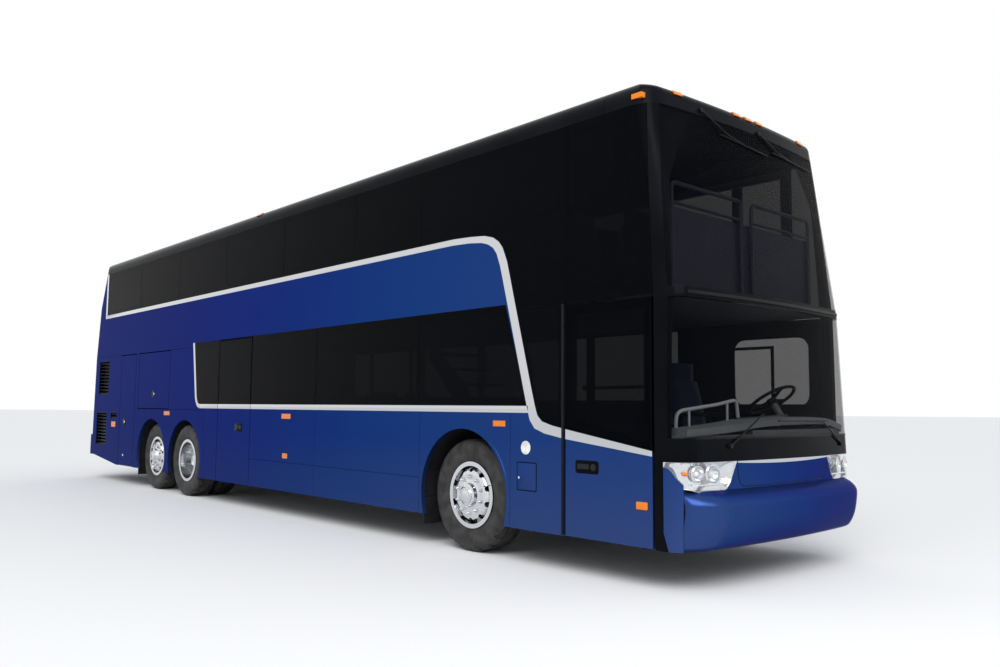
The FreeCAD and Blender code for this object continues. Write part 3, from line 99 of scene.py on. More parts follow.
class Finish:
    """A material round one Principled shader; extra sockets by name."""

    def __init__(self, name, color, roughness, metallic=0.0, level=0.5, **extra):
        self.material = bpy.data.materials.new(name)
        self.material.use_nodes = True
        self.tree = self.material.node_tree
        self.sockets = self.tree.nodes["Principled BSDF"].inputs
        self.sockets["Base Color"].default_value = (*color, 1.0)
        self.sockets["Roughness"].default_value = roughness
        self.sockets["Metallic"].default_value = metallic
        self.sockets["Specular IOR Level"].default_value = level
        for key, value in extra.items():
            self.sockets[key.replace("_", " ")].default_value = value

    def add(self, kind, sockets=None, **choices):
        return add_node(self.tree, kind, sockets, **choices)

    def feed(self, output, socket):
        self.tree.links.new(output, self.sockets[socket])

    def place(self):
        return self.add("TexCoord")["Object"]

    def axes(self):
        return self.add("SeparateXYZ", {"Vector": self.place()})

    def reckon(self, operation, *values):
        return self.add("Math", dict(enumerate(values)), operation=operation)["Value"]

    def grain(self, scale, detail=2.0):
        """Noise over the object, 0 to 1."""
        noise = {"Scale": scale, "Detail": detail, "Vector": self.place()}
        return self.add("TexNoise", noise)["Fac"]

    def span(self, value, low, high, start=0.0, end=1.0):
        """Low to high as the value goes from start to end."""
        return self.add("MapRange", {"Value": value, "From Min": start, "From Max": end,
                                     "To Min": low, "To Max": high})["Result"]

    def blend(self, factor, low, high):
        """Base colour from low to high with factor."""
        ramp = self.tree.nodes.new("ShaderNodeValToRGB")
        for stop, position, color in zip(ramp.color_ramp.elements, BLEND, (low, high)):
            stop.position = position
            stop.color = (*color, 1.0)
        self.tree.links.new(factor, ramp.inputs["Fac"])
        self.feed(ramp.outputs["Color"], "Base Color")

    def cover(self, factor, color):
        """One more colour over the base colour, by factor."""
        below = self.sockets["Base Color"].links[0].from_socket
        mixed = self.add("Mix", {"Factor": factor, "A": below, "B": (*color, 1.0)},
                         data_type="RGBA")
        self.feed(mixed["Result"], "Base Color")

    def gloss(self, factor, low, high):
        """Roughness from low to high with factor."""
        self.feed(self.span(factor, low, high), "Roughness")

    def relief(self, height, strength, distance):
        bump = self.add("Bump", {"Strength": strength, "Distance": distance, "Height": height})
        self.feed(bump["Normal"], "Normal")


def blue_paint(name="blue_paint"):
    """Deep metallic blue under lacquer, paler near the ground where a reflection of the ground is
    painted in.
    """
    paint = Finish(name, (0.014, 0.045, 0.18), 0.24, 0.72, 0.04,
                   Specular_Tint=(0.03, 0.11, 0.38, 1.0))
    paint.blend(paint.grain(420.0, 1.0), (0.01, 0.034, 0.145), (0.021, 0.06, 0.235))
    # painted reflection of the ground: pale blue-grey over the paint, strongest low down and gone
    # by 1.05 m
    paint.cover(paint.span(paint.axes()["Z"], GROUND_REFLECTION_COVER, 0.0, *GROUND_REFLECTION_FADES), GROUND_REFLECTION)
    paint.gloss(paint.grain(3.0), 0.18, 0.3)
    paint.relief(paint.grain(1.3, 1.0), 0.04, 0.02)
    return paint


def parted_paint(name, start, end):
    """The blue paint, but black above a line just under two (x, z) points."""
    paint = blue_paint(name)
    fall = (start[1] - end[1]) / (end[0] - start[0])
    axes = paint.axes()
    level = paint.reckon("MULTIPLY_ADD", axes["X"], fall, axes["Z"])
    line = start[1] + start[0] * fall - 0.01
    paint.cover(paint.reckon("GREATER_THAN", level, line), ABOVE_LINE)
    return paint.material


def gloss_black(name, color, roughness):
    """Black lacquer with faint polish marks."""
    paint = Finish(name, color, roughness, level=0.03)
    paint.blend(paint.grain(2.2), color, times(color, 1.6))
    paint.gloss(paint.grain(5.0), roughness * 0.9, roughness * 1.15)
    return paint.material


def glazing(name, color, cover, clearer=None):
    """Tinted pane with faint waviness; clearer gives (centre, half size, cover) of one part."""
    pane = Finish(name, color, 0.03, Alpha=cover, level=0.022)
    pane.gloss(pane.grain(1.2), 0.015, 0.05)
    pane.relief(pane.grain(0.9, 1.0), 0.05, 0.015)
    if clearer:
        centre, reach, thin = clearer
        axes = pane.axes()
        along, across, up = (pane.reckon("COMPARE", axes[axis], middle, half)
                             for axis, middle, half in zip("XYZ", centre, reach))
        inside = pane.reckon("MULTIPLY", pane.reckon("MULTIPLY", along, across), up)
        pane.feed(pane.span(inside, cover, thin), "Alpha")
    return pane.material


def satin(name, color, roughness, scale=60.0, level=0.4, spread=0.25):
    """Painted or moulded surface with a fine grain; spread is how far its colour strays."""
    skin = Finish(name, color, roughness, level=level)
    skin.blend(skin.grain(scale * 0.2, 3.0), times(color, 1.0 - spread),
               times(color, 1.0 + spread))
    skin.gloss(skin.grain(scale * 0.1), roughness - 0.08, roughness + 0.08)
    skin.relief(skin.grain(scale), 0.25, 0.0006)
    return skin.material


def polished(name, color, low, high, scale=14.0):
    """Bright metal with soft smears."""
    metal = Finish(name, color, low, 1.0)
    metal.gloss(metal.grain(scale, 3.0), low, high)
    metal.relief(metal.grain(scale * 1.5), 0.08, 0.002)
    return metal.material


def cast_rough(name, color, roughness):
    """Cast or forged metal with dirt in it."""
    metal = Finish(name, color, roughness, 0.6)
    metal.blend(metal.grain(9.0, 5.0), times(color, 0.4), color)
    metal.relief(metal.grain(70.0, 4.0), 0.5, 0.002)
    return metal.material


def rubber():
    """Tyre rubber: nearly black, greyer where dust sits."""
    tread = Finish("rubber", (0.018, 0.018, 0.019), 0.62, level=0.35)
    tread.blend(tread.grain(11.0, 5.0), (0.012, 0.012, 0.013), (0.042, 0.041, 0.04))
    tread.gloss(tread.grain(22.0, 3.0), 0.5, 0.75)
    tread.relief(tread.grain(240.0, 3.0), 0.3, 0.0008)
    return tread.material


def cloth():
    """Seat moquette: two blues in a woven grid."""
    weave = Finish("seat_cloth", (0.02, 0.03, 0.07), 0.92, level=0.2, Sheen_Weight=0.35)
    grid = weave.add("TexChecker", {"Scale": 190.0, "Color1": (0.016, 0.024, 0.06, 1.0),
                                    "Color2": (0.03, 0.045, 0.1, 1.0),
                                    "Vector": weave.place()})
    weave.feed(grid["Color"], "Base Color")
    weave.relief(weave.grain(420.0), 0.5, 0.001)
    return weave.material


def lens(name, color, cover, scale=160.0, coat=0.1):
    """Moulded lamp lens with fine ribs."""
    glass = Finish(name, color, 0.08, Alpha=cover, Coat_Weight=coat, level=0.25)
    ribs = glass.add("TexWave", {"Scale": scale, "Vector": glass.place()}, bands_direction="Z")
    glass.relief(ribs["Fac"], 0.25, 0.001)
    glass.gloss(glass.grain(30.0), 0.05, 0.14)
    return glass.material


BLUE = blue_paint().material
DOOR_BLUE = parted_paint("entrance_door_paint", *SILL)
SIDE_DOOR_BLUE = parted_paint("side_door_paint", *((x, SIDE_DOOR_BLACK) for x in SIDE_DOOR_SPAN))
BLACK = gloss_black("gloss_black", (0.0022, 0.0026, 0.0036), 0.12)
ROOF = gloss_black("roof_paint", (0.0032, 0.0038, 0.0052), 0.18)
DRIVER_PANE = ((5.75, 1.265, 1.6), (0.64, 0.05, 0.62), 0.55)
SIDE_GLASS = glazing("side_glass", PANE_TINT, 0.78, DRIVER_PANE)
SCREEN_GLASS = glazing("screen_glass", (0.002, 0.0026, 0.0045), 0.3)
DOOR_GLASS = glazing("door_glass", PANE_TINT, 0.6)
FRAME_PAINT = satin("frame_paint", (0.014, 0.014, 0.016), 0.5, level=0.15)
TRIM = satin("trim_black", (0.006, 0.006, 0.007), 0.38, 90.0, 0.1)
BRIGHT = polished("bright_strip", (0.62, 0.63, 0.65), 0.08, 0.18)
ALLOY = polished("wheel_alloy", (0.7, 0.71, 0.73), 0.08, 0.22, 22.0)
CHROME = polished("chrome", (0.7, 0.71, 0.73), 0.04, 0.1)
RUBBER = rubber()
STEEL = cast_rough("axle_steel", (0.07, 0.07, 0.075), 0.55)
ENGINE = cast_rough("engine_iron", (0.16, 0.16, 0.16), 0.6)
FLOORING = satin("floor_vinyl", (0.045, 0.045, 0.05), 0.62, 45.0)
DASH = satin("dash_plastic", (0.16, 0.17, 0.18), 0.55, 220.0)
RAIL = polished("rail_steel", (0.72, 0.73, 0.74), 0.25, 0.38)
PALE = satin("pale_moulding", (0.5, 0.52, 0.54), 0.45, 120.0, spread=0.05)
LINING = satin("wall_lining", (0.06, 0.064, 0.075), 0.75, 80.0, spread=0.08)
HOOP = satin("hoop_rubber", (0.012, 0.015, 0.028), 0.45, 120.0, 0.2, 0.08)
COVER = satin("dash_cover", (0.21, 0.225, 0.24), 0.55, 120.0, spread=0.05)
CLOTH = cloth()
CLEAR = lens("clear_lens", (0.85, 0.88, 0.92), 0.1, 40.0, 0.5)
AMBER = lens("amber_lens", (0.8, 0.21, 0.008), 0.96)
RED = lens("red_lens", (0.3, 0.004, 0.004), 0.96)
WHITE_CAP = satin("white_cap", (0.75, 0.75, 0.73), 0.4, 50.0)

NODE_FINISH = {
    "front_pillars": BLACK, "front_crossbars": BLACK, "louvres": BLACK, "steering_wheel": TRIM,
    "windscreens": SCREEN_GLASS, "body_glass": SIDE_GLASS, "entrance_door_glass": DOOR_GLASS,
    "side_door_glass": SIDE_GLASS, "dashboard": DASH, "handrails": HOOP,
    "bulkheads": LINING, "entrance_door": DOOR_BLUE, "side_door": SIDE_DOOR_BLUE,
}
SLOT_FINISH = {
    "body_blue": BLUE, "black_trim": BLACK, "roof_black": ROOF, "frame_grey": FRAME_PAINT,
    "tinted_glass": SIDE_GLASS, "lamp_clear": CLEAR, "lamp_amber": AMBER, "lamp_red": RED,
    "rim_polished": ALLOY, "tyre_rubber": RUBBER, "axle_steel": STEEL, "floor_grey": FLOORING,
    "seat_fabric": CLOTH, "dash_grey": DASH, "rail_bright": RAIL, "engine_grey": ENGINE,
}
for part in frame["record"]["subparts"]:
    worn = nodes[part["node"]].data.materials
    worn.clear()
    worn.append(NODE_FINISH.get(part["node"], SLOT_FINISH[part["material_slot"]]))


# ---- making pieces
BODY = "coach_body"
FAR_X = 9.0  # well outside both ends
EDGE = 0.0008  # broken edge of small fittings
SINK = 0.002  # how far trim reaches into what carries it


def mesh_of(name, bm):
    """Close a bmesh into a mesh."""
    mesh = bpy.data.meshes.new(name)
    bm.to_mesh(mesh)
    bm.free()
    return mesh


def link(name, data):
    """An object of the scene round some data."""
    made = bpy.data.objects.new(name, data)
    bpy.context.scene.collection.objects.link(made)
    return made


def piece(name, bm, body, material, angle=38.0):
    """A finished object that rides on a body."""
    bmesh.ops.remove_doubles(bm, verts=bm.verts, dist=0.00004)
    bmesh.ops.recalc_face_normals(bm, faces=bm.faces)
    mesh = mesh_of(name, bm)
    mesh.materials.append(material)
    mesh.shade_smooth()
    mesh.set_sharp_from_angle(angle=math.radians(angle))
    made = link(name, mesh)
    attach(made, body)
    return made


def soften(bm, edges, width, segments=2):
    bmesh.ops.bevel(bm, geom=edges, offset=width, segments=segments, profile=0.5,
                    affect="EDGES", material=-1)


def block(bm, low, high, round_off, segments=2):
    """A box between two corners with rounded edges."""
    low, high = Vector(low), Vector(high)
    size = Vector([abs(v) for v in high - low])
    matrix = Matrix.Translation((low + high) / 2) @ Matrix.Diagonal((*size, 1.0))
    made = bmesh.ops.create_cube(bm, size=1.0, matrix=matrix)
    soften(bm, list({edge for vert in made["verts"] for edge in vert.link_edges}), round_off,
           segments)


def rod(bm, start, end, radius, segments=16, tip=None):
    """A round bar from start to end; tip gives it another end radius."""
    start, end = Vector(start), Vector(end)
    way = end - start
    turn = way.to_track_quat("Z", "Y").to_matrix().to_4x4()
    bmesh.ops.create_cone(bm, cap_ends=True, segments=segments, radius1=radius,
                          radius2=radius if tip is None else tip, depth=way.length,
                          matrix=Matrix.Translation((start + end) / 2) @ turn)


def ball(bm, centre, radius, segments=10, squash=(1.0, 1.0, 1.0)):
    bmesh.ops.create_uvsphere(bm, u_segments=segments, v_segments=segments // 2, radius=radius,
                              matrix=Matrix.Translation(centre) @ Matrix.Diagonal((*squash, 1.0)))


def chain(bm, points, closed=False):
    """Vertices at the points, and edges from each to the next."""
    verts = [bm.verts.new(point) for point in points]
    ends = verts[1:] + (verts[:1] if closed else [])
    return verts, [bm.edges.new(pair) for pair in zip(verts, ends)]


def thicken(bm, faces, way):
    """Extrude faces by way; gives the vertices of the moved side."""
    made = bmesh.ops.extrude_face_region(bm, geom=faces)
    moved = [item for item in made["geom"] if isinstance(item, bmesh.types.BMVert)]
    bmesh.ops.translate(bm, verts=moved, vec=way)
    return moved


def sheet(bm, rows, way, closed=False):
    """A sheet stretched over rows of points and thickened by way."""
    chains = [chain(bm, row, closed)[1] for row in rows]
    faces = []
    for low, high in zip(chains, chains[1:]):
        faces += bmesh.ops.bridge_loops(bm, edges=low + high)["faces"]
    thicken(bm, faces, way)


def lathe(bm, profile, centre, axis, segments):
    """Turn (along, radius) points round an axis through centre."""
    axis = Vector(axis).normalized()
    aside = axis.orthogonal().normalized()
    centre = Vector(centre)
    verts, edges = chain(bm, [centre + axis * along + aside * radius
                              for along, radius in profile])
    bmesh.ops.spin(bm, geom=verts + edges, cent=centre, axis=axis, angle=math.tau,
                   steps=segments, use_merge=True, use_duplicate=False)


def plate(bm, outline, side, low, high, round_off=0.0):
    """A flat (x, z) outline on one side of the coach; depths are from the side panels' face."""
    low, high = FACE_Y + low, FACE_Y + high
    face = bm.faces.new([bm.verts.new((x, side * low, z)) for x, z in outline])
    top = thicken(bm, [face], (0, side * (high - low), 0))
    if round_off:
        soften(bm, [edge for edge in bm.edges if edge.verts[0] in top and edge.verts[1] in top],
               round_off)


def ribbon(bm, outer, inner, side, low, high, closed=False):
    """A band between two (x, z) lines of as many points; closed lines leave an opening."""
    low, high = FACE_Y + low, FACE_Y + high
    rows = [[(x, side * low, z) for x, z in line] for line in (outer, inner)]
    sheet(bm, rows, (0, side * (high - low), 0), closed)


def plated(name, body, slot, material, sides, *plates):
    """A piece of flat plates, the same on each of the sides."""
    bm = bmesh.new()
    for side in sides:
        for outline, *depths in plates:
            plate(bm, outline, side, *depths)
    piece(name, bm, body, material)


def spread(start, end, steps):
    return [start + (end - start) * step / steps for step in range(steps + 1)]


def rectangle(x0, x1, z0, z1):
    return [(x0, z0), (x1, z0), (x1, z1), (x0, z1)]


def rounded(x0, x1, z0, z1, radius):
    """A rectangle with round corners."""
    outline = []
    for cx, cz, start in ((x1 - radius, z0 + radius, -90), (x1 - radius, z1 - radius, 0),
                          (x0 + radius, z1 - radius, 90), (x0 + radius, z0 + radius, 180)):
        for angle in map(math.radians, spread(start, start + 90, 4)):
            outline.append((cx + radius * math.cos(angle), cz + radius * math.sin(angle)))
    return outline


def disc(x, z, radius, steps=28, start=0.0):
    """Even (x, z) points on a circle; start is a share of one step."""
    turns = [math.tau * (n + start) / steps for n in range(steps)]
    return [(x + radius * math.cos(turn), z + radius * math.sin(turn)) for turn in turns]


def pipe(bm, points, radius, bend):
    """A bent tube through points, its bends rounded."""
    points = [Vector(p) for p in points]
    path = points[:1]
    for before, here, after in zip(points, points[1:], points[2:]):
        back = (before - here).normalized() * min(bend, (before - here).length / 2)
        on = (after - here).normalized() * min(bend, (after - here).length / 2)
        path += [here + back * (1 - share) ** 2 + on * share ** 2 for share in spread(0, 1, 4)]
    path += points[-1:]
    curve = bpy.data.curves.new("pipe", "CURVE")
    curve.dimensions = "3D"
    curve.bevel_depth = radius
    curve.bevel_resolution = 3
    curve.use_fill_caps = True
    spline = curve.splines.new("POLY")
    spline.points.add(len(path) - 1)
    for target, place in zip(spline.points, path):
        target.co = (*place, 1.0)
    holder = bpy.data.objects.new("pipe", curve)
    mesh = bpy.data.meshes.new_from_object(holder)
    bm.from_mesh(mesh)
    bpy.data.objects.remove(holder)
    bpy.data.curves.remove(curve)
    bpy.data.meshes.remove(mesh)


def walk(corners, steps, few):
    """Even points along the runs between (y, z) corners, with few of them on short runs."""
    for (y0, z0), (y1, z1) in zip(corners, corners[1:]):
        count = steps if abs(y1 - y0) > 0.5 else few
        yield from list(zip(spread(y0, y1, count), spread(z0, z1, count)))[:-1]


def depth_finder(way, *names):
    """Gives x of the outermost face of some nodes at (y, z), met from the front or the rear."""
    verts, faces = [], []
    for name in names:
        start = len(verts)
        mesh = nodes[name].data
        verts += [vert.co.copy() for vert in mesh.vertices]
        faces += [[start + index for index in poly.vertices] for poly in mesh.polygons]
    tree = BVHTree.FromPolygons(verts, faces)
    back = Vector((-way, 0, 0))
    return lambda y, z: tree.ray_cast(Vector((way * FAR_X, y, z)), back)[0].x


front_x = depth_finder(1, "front_pillars", "front_crossbars", "windscreens",
                       "front_lower_panels", "headlamps", "roof_panels", "front_bumper")
rear_x = depth_finder(-1, "rear_wall", "rear_corners", "engine_door", "body_glass", "tail_lamps",
                      "roof_panels")
FRONT, REAR = (1, front_x), (-1, rear_x)


def banded(name, body, slot, material, face, *bands):
    """A piece of bands that follow one end of the coach: (y span, z span, proud, steps)."""
    bm = bmesh.new()
    way, face_x = face
    for span, heights, proud, steps in bands:
        rows = [[(face_x(y, z) - way * SINK, y, z) for y in spread(*span, steps)]
                for z in heights]
        sheet(bm, rows, (way * (proud + SINK), 0, 0))
    piece(name, bm, body, material)


# ---- bright strips
BELT = (2.883, 2.943)  # strip under the upper windows
WAIST = (1.29, 1.35)  # strip under the lower windows
COLUMN = (-6.07, -6.006)  # strip up the rear edge of the upper windows
SWOOSH_OUTER = [(4.0, 2.943), (4.25, 2.93), (4.45, 2.912), (4.57, 2.88), (4.65, 2.83), (4.7, 2.77),
                (4.76, 2.64), (4.8, 2.5), (4.87, 2.247), (4.94, 2.0), (5.08, 1.5), (5.125, 1.35),
                (5.155, 1.27), (5.21, 1.22), (5.33, 1.188), (5.463, 1.165)]
SWOOSH_INNER = [(4.0, 2.883), (4.24, 2.872), (4.41, 2.852), (4.5, 2.826), (4.57, 2.786),
                (4.618, 2.73), (4.668, 2.61), (4.706, 2.48), (4.776, 2.23), (4.846, 1.98),
                (4.984, 1.49), (5.03, 1.33), (5.062, 1.23), (5.12, 1.16), (5.24, 1.12),
                (5.463, 1.084)]
TAIL_OUTER = [(-2.095, 2.247), (-1.96, 1.45), (-1.93, 1.38), (-1.88, 1.32), (-1.8, 1.29)]
TAIL_INNER = [(-2.035, 2.247), (-1.905, 1.47), (-1.88, 1.405), (-1.85, 1.365), (-1.79, 1.35)]
STRIP = (-0.001, 0.0035)  # depths of a strip's back and face
STRIP_EDGE = 0.001
SILL_WIDTHS = (0.081, 0.04)  # of the sill strip at its two ends
DOOR_SPAN = (5.483, 6.367)
DOOR_GAP = 0.012  # between the side door and the strip beside it


def sill_ribbon(bm, x0, x1, side):
    """The strip under the front side glass, narrower towards the front."""
    (start_x, start_z), (end_x, end_z) = SILL
    shares = [(x - start_x) / (end_x - start_x) for x in (x0, x1)]
    upper = [(x, start_z + share * (end_z - start_z)) for x, share in zip((x0, x1), shares)]
    widths = (SILL_WIDTHS[0] - 0.031 * shares[0], SILL_WIDTHS[1])
    lower = [(x, z - width) for (x, z), width in zip(upper, widths)]
    ribbon(bm, upper, lower, side, *STRIP)


def bright_strips(side, side_name):
    bm = bmesh.new()
    plate(bm, rectangle(*COLUMN, BELT[0], 3.698), side, *STRIP, STRIP_EDGE)
    plate(bm, rectangle(COLUMN[1], SWOOSH_OUTER[0][0], *BELT), side, *STRIP, STRIP_EDGE)
    ribbon(bm, SWOOSH_OUTER, SWOOSH_INNER, side, *STRIP)
    if side == LEFT:
        sill_ribbon(bm, SILL[0][0], SILL[1][0], side)
    piece("belt_strip_" + side_name, bm, BODY, BRIGHT)
    bm = bmesh.new()
    ribbon(bm, TAIL_OUTER, TAIL_INNER, side, *STRIP)
    ends = [TAIL_INNER[-1][0], 5.04]
    if side == RIGHT:
        ends[1:1] = [SIDE_DOOR_SPAN[0] - DOOR_GAP, SIDE_DOOR_SPAN[1] + DOOR_GAP]
    for start, end in zip(ends[::2], ends[1::2]):
        plate(bm, rectangle(start, end, *WAIST), side, *STRIP, STRIP_EDGE)
    piece("waist_strip_" + side_name, bm, BODY, BRIGHT)


def door_strips():
    bm = bmesh.new()
    sill_ribbon(bm, *DOOR_SPAN, RIGHT)
    piece("entrance_door_strip", bm, "entrance_door", BRIGHT)
    plated("side_door_strip", "side_door", "rail_bright", BRIGHT, [RIGHT],
           (rectangle(*SIDE_DOOR_SPAN, *WAIST), *STRIP, STRIP_EDGE))


for flank in SIDES:
    bright_strips(*flank)
door_strips()


# ---- wheel arches and side details
TYRE_R = 0.52
ARCHES = ((4.155, 0.62), (-2.31, 0.595), (-3.64, 0.595))  # x and radius
ARCH_FOOT = 0.312  # height at which the lips end
BOTH = (RIGHT, LEFT)
FLAP_LOCK = (4.932, 0.735)
CAP = (5.013, 0.993)  # filler cap


def louvre_mesh():
    """Dark mesh behind the louvres, so that no light passes through the engine bay."""
    plated("louvre_mesh", BODY, "black_trim", TRIM, BOTH,
           (rectangle(-6.29, -5.7, 0.64, 2.09), -0.068, -0.06),
           (rectangle(-5.7, -5.25, 0.9, 1.26), -0.068, -0.06))


def arch_lips(side, side_name):
    """Rolled edge round each wheel arch."""
    bm = bmesh.new()
    for x, radius in ARCHES:
        low = math.asin((ARCH_FOOT - TYRE_R) / radius)
        start = Vector((math.cos(low), 0, math.sin(low)))
        centre = Vector((x, 0, TYRE_R))
        section = [(-0.012, -0.004), (0.0022, -0.004), (0.003, 0.008), (0.0022, 0.022),
                   (-0.001, 0.025)]
        verts, edges = chain(bm, [centre + start * (radius + out)
                                  + Vector((0, side * (FACE_Y + depth), 0))
                                  for depth, out in section])
        bmesh.ops.spin(bm, geom=verts + edges, cent=centre, axis=(0, -1, 0),
                       angle=math.pi - 2 * low, steps=56)
    bmesh.ops.solidify(bm, geom=bm.faces[:], thickness=0.0015)
    piece("arch_lips_" + side_name, bm, BODY, BLUE)


def door_handle(name, body, x, z, width, height):
    """A lift bar and a round lock in a black dished recess."""
    bm = bmesh.new()
    block(bm, (x - width * 0.4, -FACE_Y - 0.0012, z - height * 0.16),
          (x + width * 0.1, -FACE_Y - 0.0046, z + height * 0.22), 0.0015)
    plate(bm, disc(x + width * 0.28, z, height * 0.27), RIGHT, 0.001, 0.0044, 0.001)
    piece(name + "_bar", bm, body, FRAME_PAINT)
    recess = rounded(x - width / 2, x + width / 2, z - height / 2, z + height / 2, height * 0.2)
    plated(name + "_recess", body, "black_trim", BLACK, [RIGHT], (recess, -SINK, 0.0015, 0.0005))


def round_lock(x, z):
    """The plates of a round lock with a key bar."""
    return ((disc(x, z, 0.02), -SINK, 0.0035, EDGE),
            (rectangle(x - 0.011, x + 0.011, z - 0.003, z + 0.003), 0.0035, 0.0045))


def luggage_lock(side, side_name):
    """Round black dish with a bright lock, on the door above the rear wheels."""
    body = "luggage_door_" + side_name
    plated("luggage_dish_" + side_name, body, "black_trim", BLACK, [side],
           (disc(-3.6, 1.507, 0.062), -SINK, 0.002, EDGE),
           (rectangle(-3.655, -3.612, 1.495, 1.52), 0.0, 0.0044, EDGE))
    plated("luggage_lock_" + side_name, body, "rail_bright", CHROME, [side],
           *round_lock(-3.575, 1.507))


def service_lock(side, side_name):
    """Black pull with a lock at mid height and one more lock at the foot."""
    body = "service_door_" + side_name
    plated("service_pull_" + side_name, body, "black_trim", BLACK, [side],
           (rounded(-4.94, -4.826, 0.99, 1.096, 0.016), -SINK, 0.002, EDGE))
    plated("service_lock_" + side_name, body, "rail_bright", CHROME, [side],
           *round_lock(-4.87, 1.043), *round_lock(-4.883, 0.48))


def entrance_trim():
    """Amber marker at the door's foot, and the seal behind the door."""
    plated("entrance_door_marker", "entrance_door", "lamp_amber", AMBER, [RIGHT],
           (rounded(6.215, 6.321, 0.583, 0.64, 0.008), -0.001, 0.0048, 0.0016))
    plated("entrance_door_seal", BODY, "black_trim", TRIM, [RIGHT],
           (rectangle(5.436, 5.464, 0.308, 2.196), -SINK, 0.0046, 0.0015))


def filler_flaps():
    """Small flap and round cap behind the entrance door."""
    # black plate just larger than the flap: painted shade in the gap round the flap
    plated("filler_flap_gap_shade", BODY, "black_trim", BLACK, BOTH,
           (rounded(4.903, 5.147, 0.626, 0.871, 0.014), -SINK, 0.0008))
    plated("filler_flap", BODY, "body_blue", BLUE, BOTH,
           (rounded(4.912, 5.138, 0.635, 0.862, 0.01), -0.001, 0.0026, EDGE))
    plated("filler_cap", BODY, "black_trim", WHITE_CAP, BOTH,
           (disc(*CAP, 0.058), -0.001, 0.0035, 0.001), (disc(*CAP, 0.04), 0.0034, 0.0046, EDGE))
    plated("filler_flap_lock", BODY, "rail_bright", CHROME, BOTH,
           (disc(*FLAP_LOCK, 0.011, 16), 0.0025, 0.0045, 0.0006))


louvre_mesh()
for flank in SIDES:
    arch_lips(*flank)
door_handle("entrance_handle", "entrance_door", 5.716, 0.867, 0.247, 0.105)
door_handle("side_door_handle", "side_door", -0.517, 1.043, 0.215, 0.11)
for flank in SIDES:
    luggage_lock(*flank)
    service_lock(*flank)
entrance_trim()
filler_flaps()


# ---- wheels
# name, x, track, how far out from it the nuts and the hub cap sit, and the cap's radius
AXLES = (("front", 4.16, 1.05, 0.141, 0.186, 0.075),
         ("drive", -2.3, 1.103, -0.14, 0.021, 0.085),
         ("tag", -3.63, 1.05, 0.141, 0.186, 0.075))
TWIN_PITCH = 0.34
TREAD_STEPS = 100
LUG_DEPTH = 0.007
NUT_RING = 0.168


def tyre_section():
    """Closed (across, radius) section with rib, bead and wall rings."""
    half = [(0.0, 0.5145), (0.01, 0.5145), (0.012, 0.52), (0.05, 0.52), (0.052, 0.51),
            (0.062, 0.51), (0.064, 0.5195), (0.098, 0.5185), (0.118, 0.5145), (0.134, 0.502),
            (0.141, 0.488), (0.144, 0.476), (0.1465, 0.474), (0.1475, 0.46), (0.15, 0.443),
            (0.15, 0.412), (0.148, 0.406), (0.148, 0.396), (0.144, 0.38), (0.14, 0.36),
            (0.142, 0.356), (0.139, 0.35), (0.127, 0.325), (0.12, 0.314), (0.115, 0.314),
            (0.115, 0.29)]
    return half + [(-across, radius) for across, radius in reversed(half[1:])] + half[:1]


def tyre(x, y):
    """A tyre with its shoulder ribs cut into lugs."""
    bm = bmesh.new()
    lathe(bm, tyre_section(), (x, y, TYRE_R), (0, 1, 0), TREAD_STEPS)
    bmesh.ops.remove_doubles(bm, verts=bm.verts, dist=0.00004)
    gaps = []
    for face in bm.faces:
        centre = face.calc_center_median() - Vector((x, y, TYRE_R))
        turn = math.atan2(centre.z, centre.x) / math.tau * TREAD_STEPS
        shoulder = 0.08 < abs(centre.y) < 0.14 and math.hypot(centre.x, centre.z) > 0.49
        if shoulder and round(turn - 0.5) % 4 == 0:
            gaps.append(face)
    for face in bmesh.ops.extrude_discrete_faces(bm, faces=gaps)["faces"]:
        centre = face.calc_center_median()
        inward = (Vector((x, centre.y, TYRE_R)) - centre).normalized()
        bmesh.ops.translate(bm, verts=face.verts[:], vec=inward * LUG_DEPTH)
    return mesh_of("tyre", bm)


def nut(bm, centre, out):
    """Wheel nut with a domed cap."""
    centre = Vector(centre)
    axis = Vector((0, out, 0))
    rod(bm, centre, centre + axis * 0.02, 0.0185, 6)
    rod(bm, centre + axis * 0.004, centre + axis * 0.034, 0.0125, 12, 0.009)
    ball(bm, centre + axis * 0.033, 0.009)


def hub(name, body, x, side, nut_y, cap_y, cap_r):
    """Wheel nuts, hub cap with its screws, and the tyre valve."""
    bm = bmesh.new()
    for nut_x, nut_z in disc(x, TYRE_R, NUT_RING, 10, 0.5):
        nut(bm, (nut_x, nut_y, nut_z), side)
    lathe(bm, [(-0.004, cap_r), (0.006, cap_r), (0.012, cap_r - 0.006), (0.014, cap_r - 0.03),
               (0.018, cap_r - 0.04), (0.018, 0.0)], (x, cap_y, TYRE_R), (0, side, 0), 40)
    for screw_x, screw_z in disc(x, TYRE_R, cap_r - 0.018, 12):
        screw = Vector((screw_x, cap_y + side * 0.012, screw_z))
        rod(bm, screw, screw + Vector((0, side * 0.008, 0)), 0.007, 6)
    stem = Vector((x + 0.205, nut_y - side * 0.02, TYRE_R + 0.09))
    rod(bm, stem, stem + Vector((0.02, side * 0.055, 0.01)), 0.006, 10)
    piece("hub_nuts_" + name, bm, body, CHROME)


def wheel(axle, x, track, nuts_out, cap_out, cap_r, side, side_name):
    name = "%s_%s" % (axle, side_name)
    body = "wheel_" + name
    bm = bmesh.new()
    for inset in (0.0, TWIN_PITCH) if axle == "drive" else (0.0,):
        mesh = tyre(x, side * (track - inset))
        bm.from_mesh(mesh)
        bpy.data.meshes.remove(mesh)
    dressed = piece("tyre_walls_" + name, bm, body, RUBBER, 30.0)
    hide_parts("tyre_" + name)
    hub(name, body, x, side, side * (track + nuts_out), side * (track + cap_out), cap_r)


for axle in AXLES:
    for flank in SIDES:
        wheel(*axle, *flank)


# ---- front bumper
BUMPER_NOSE = cad_box[1][0]
BUMPER_HALF = 1.275
BUMPER_END = 1.228  # the moulding ends here on each side
BUMPER_CROWN = 10.0
BUMPER_CORNER = 0.344
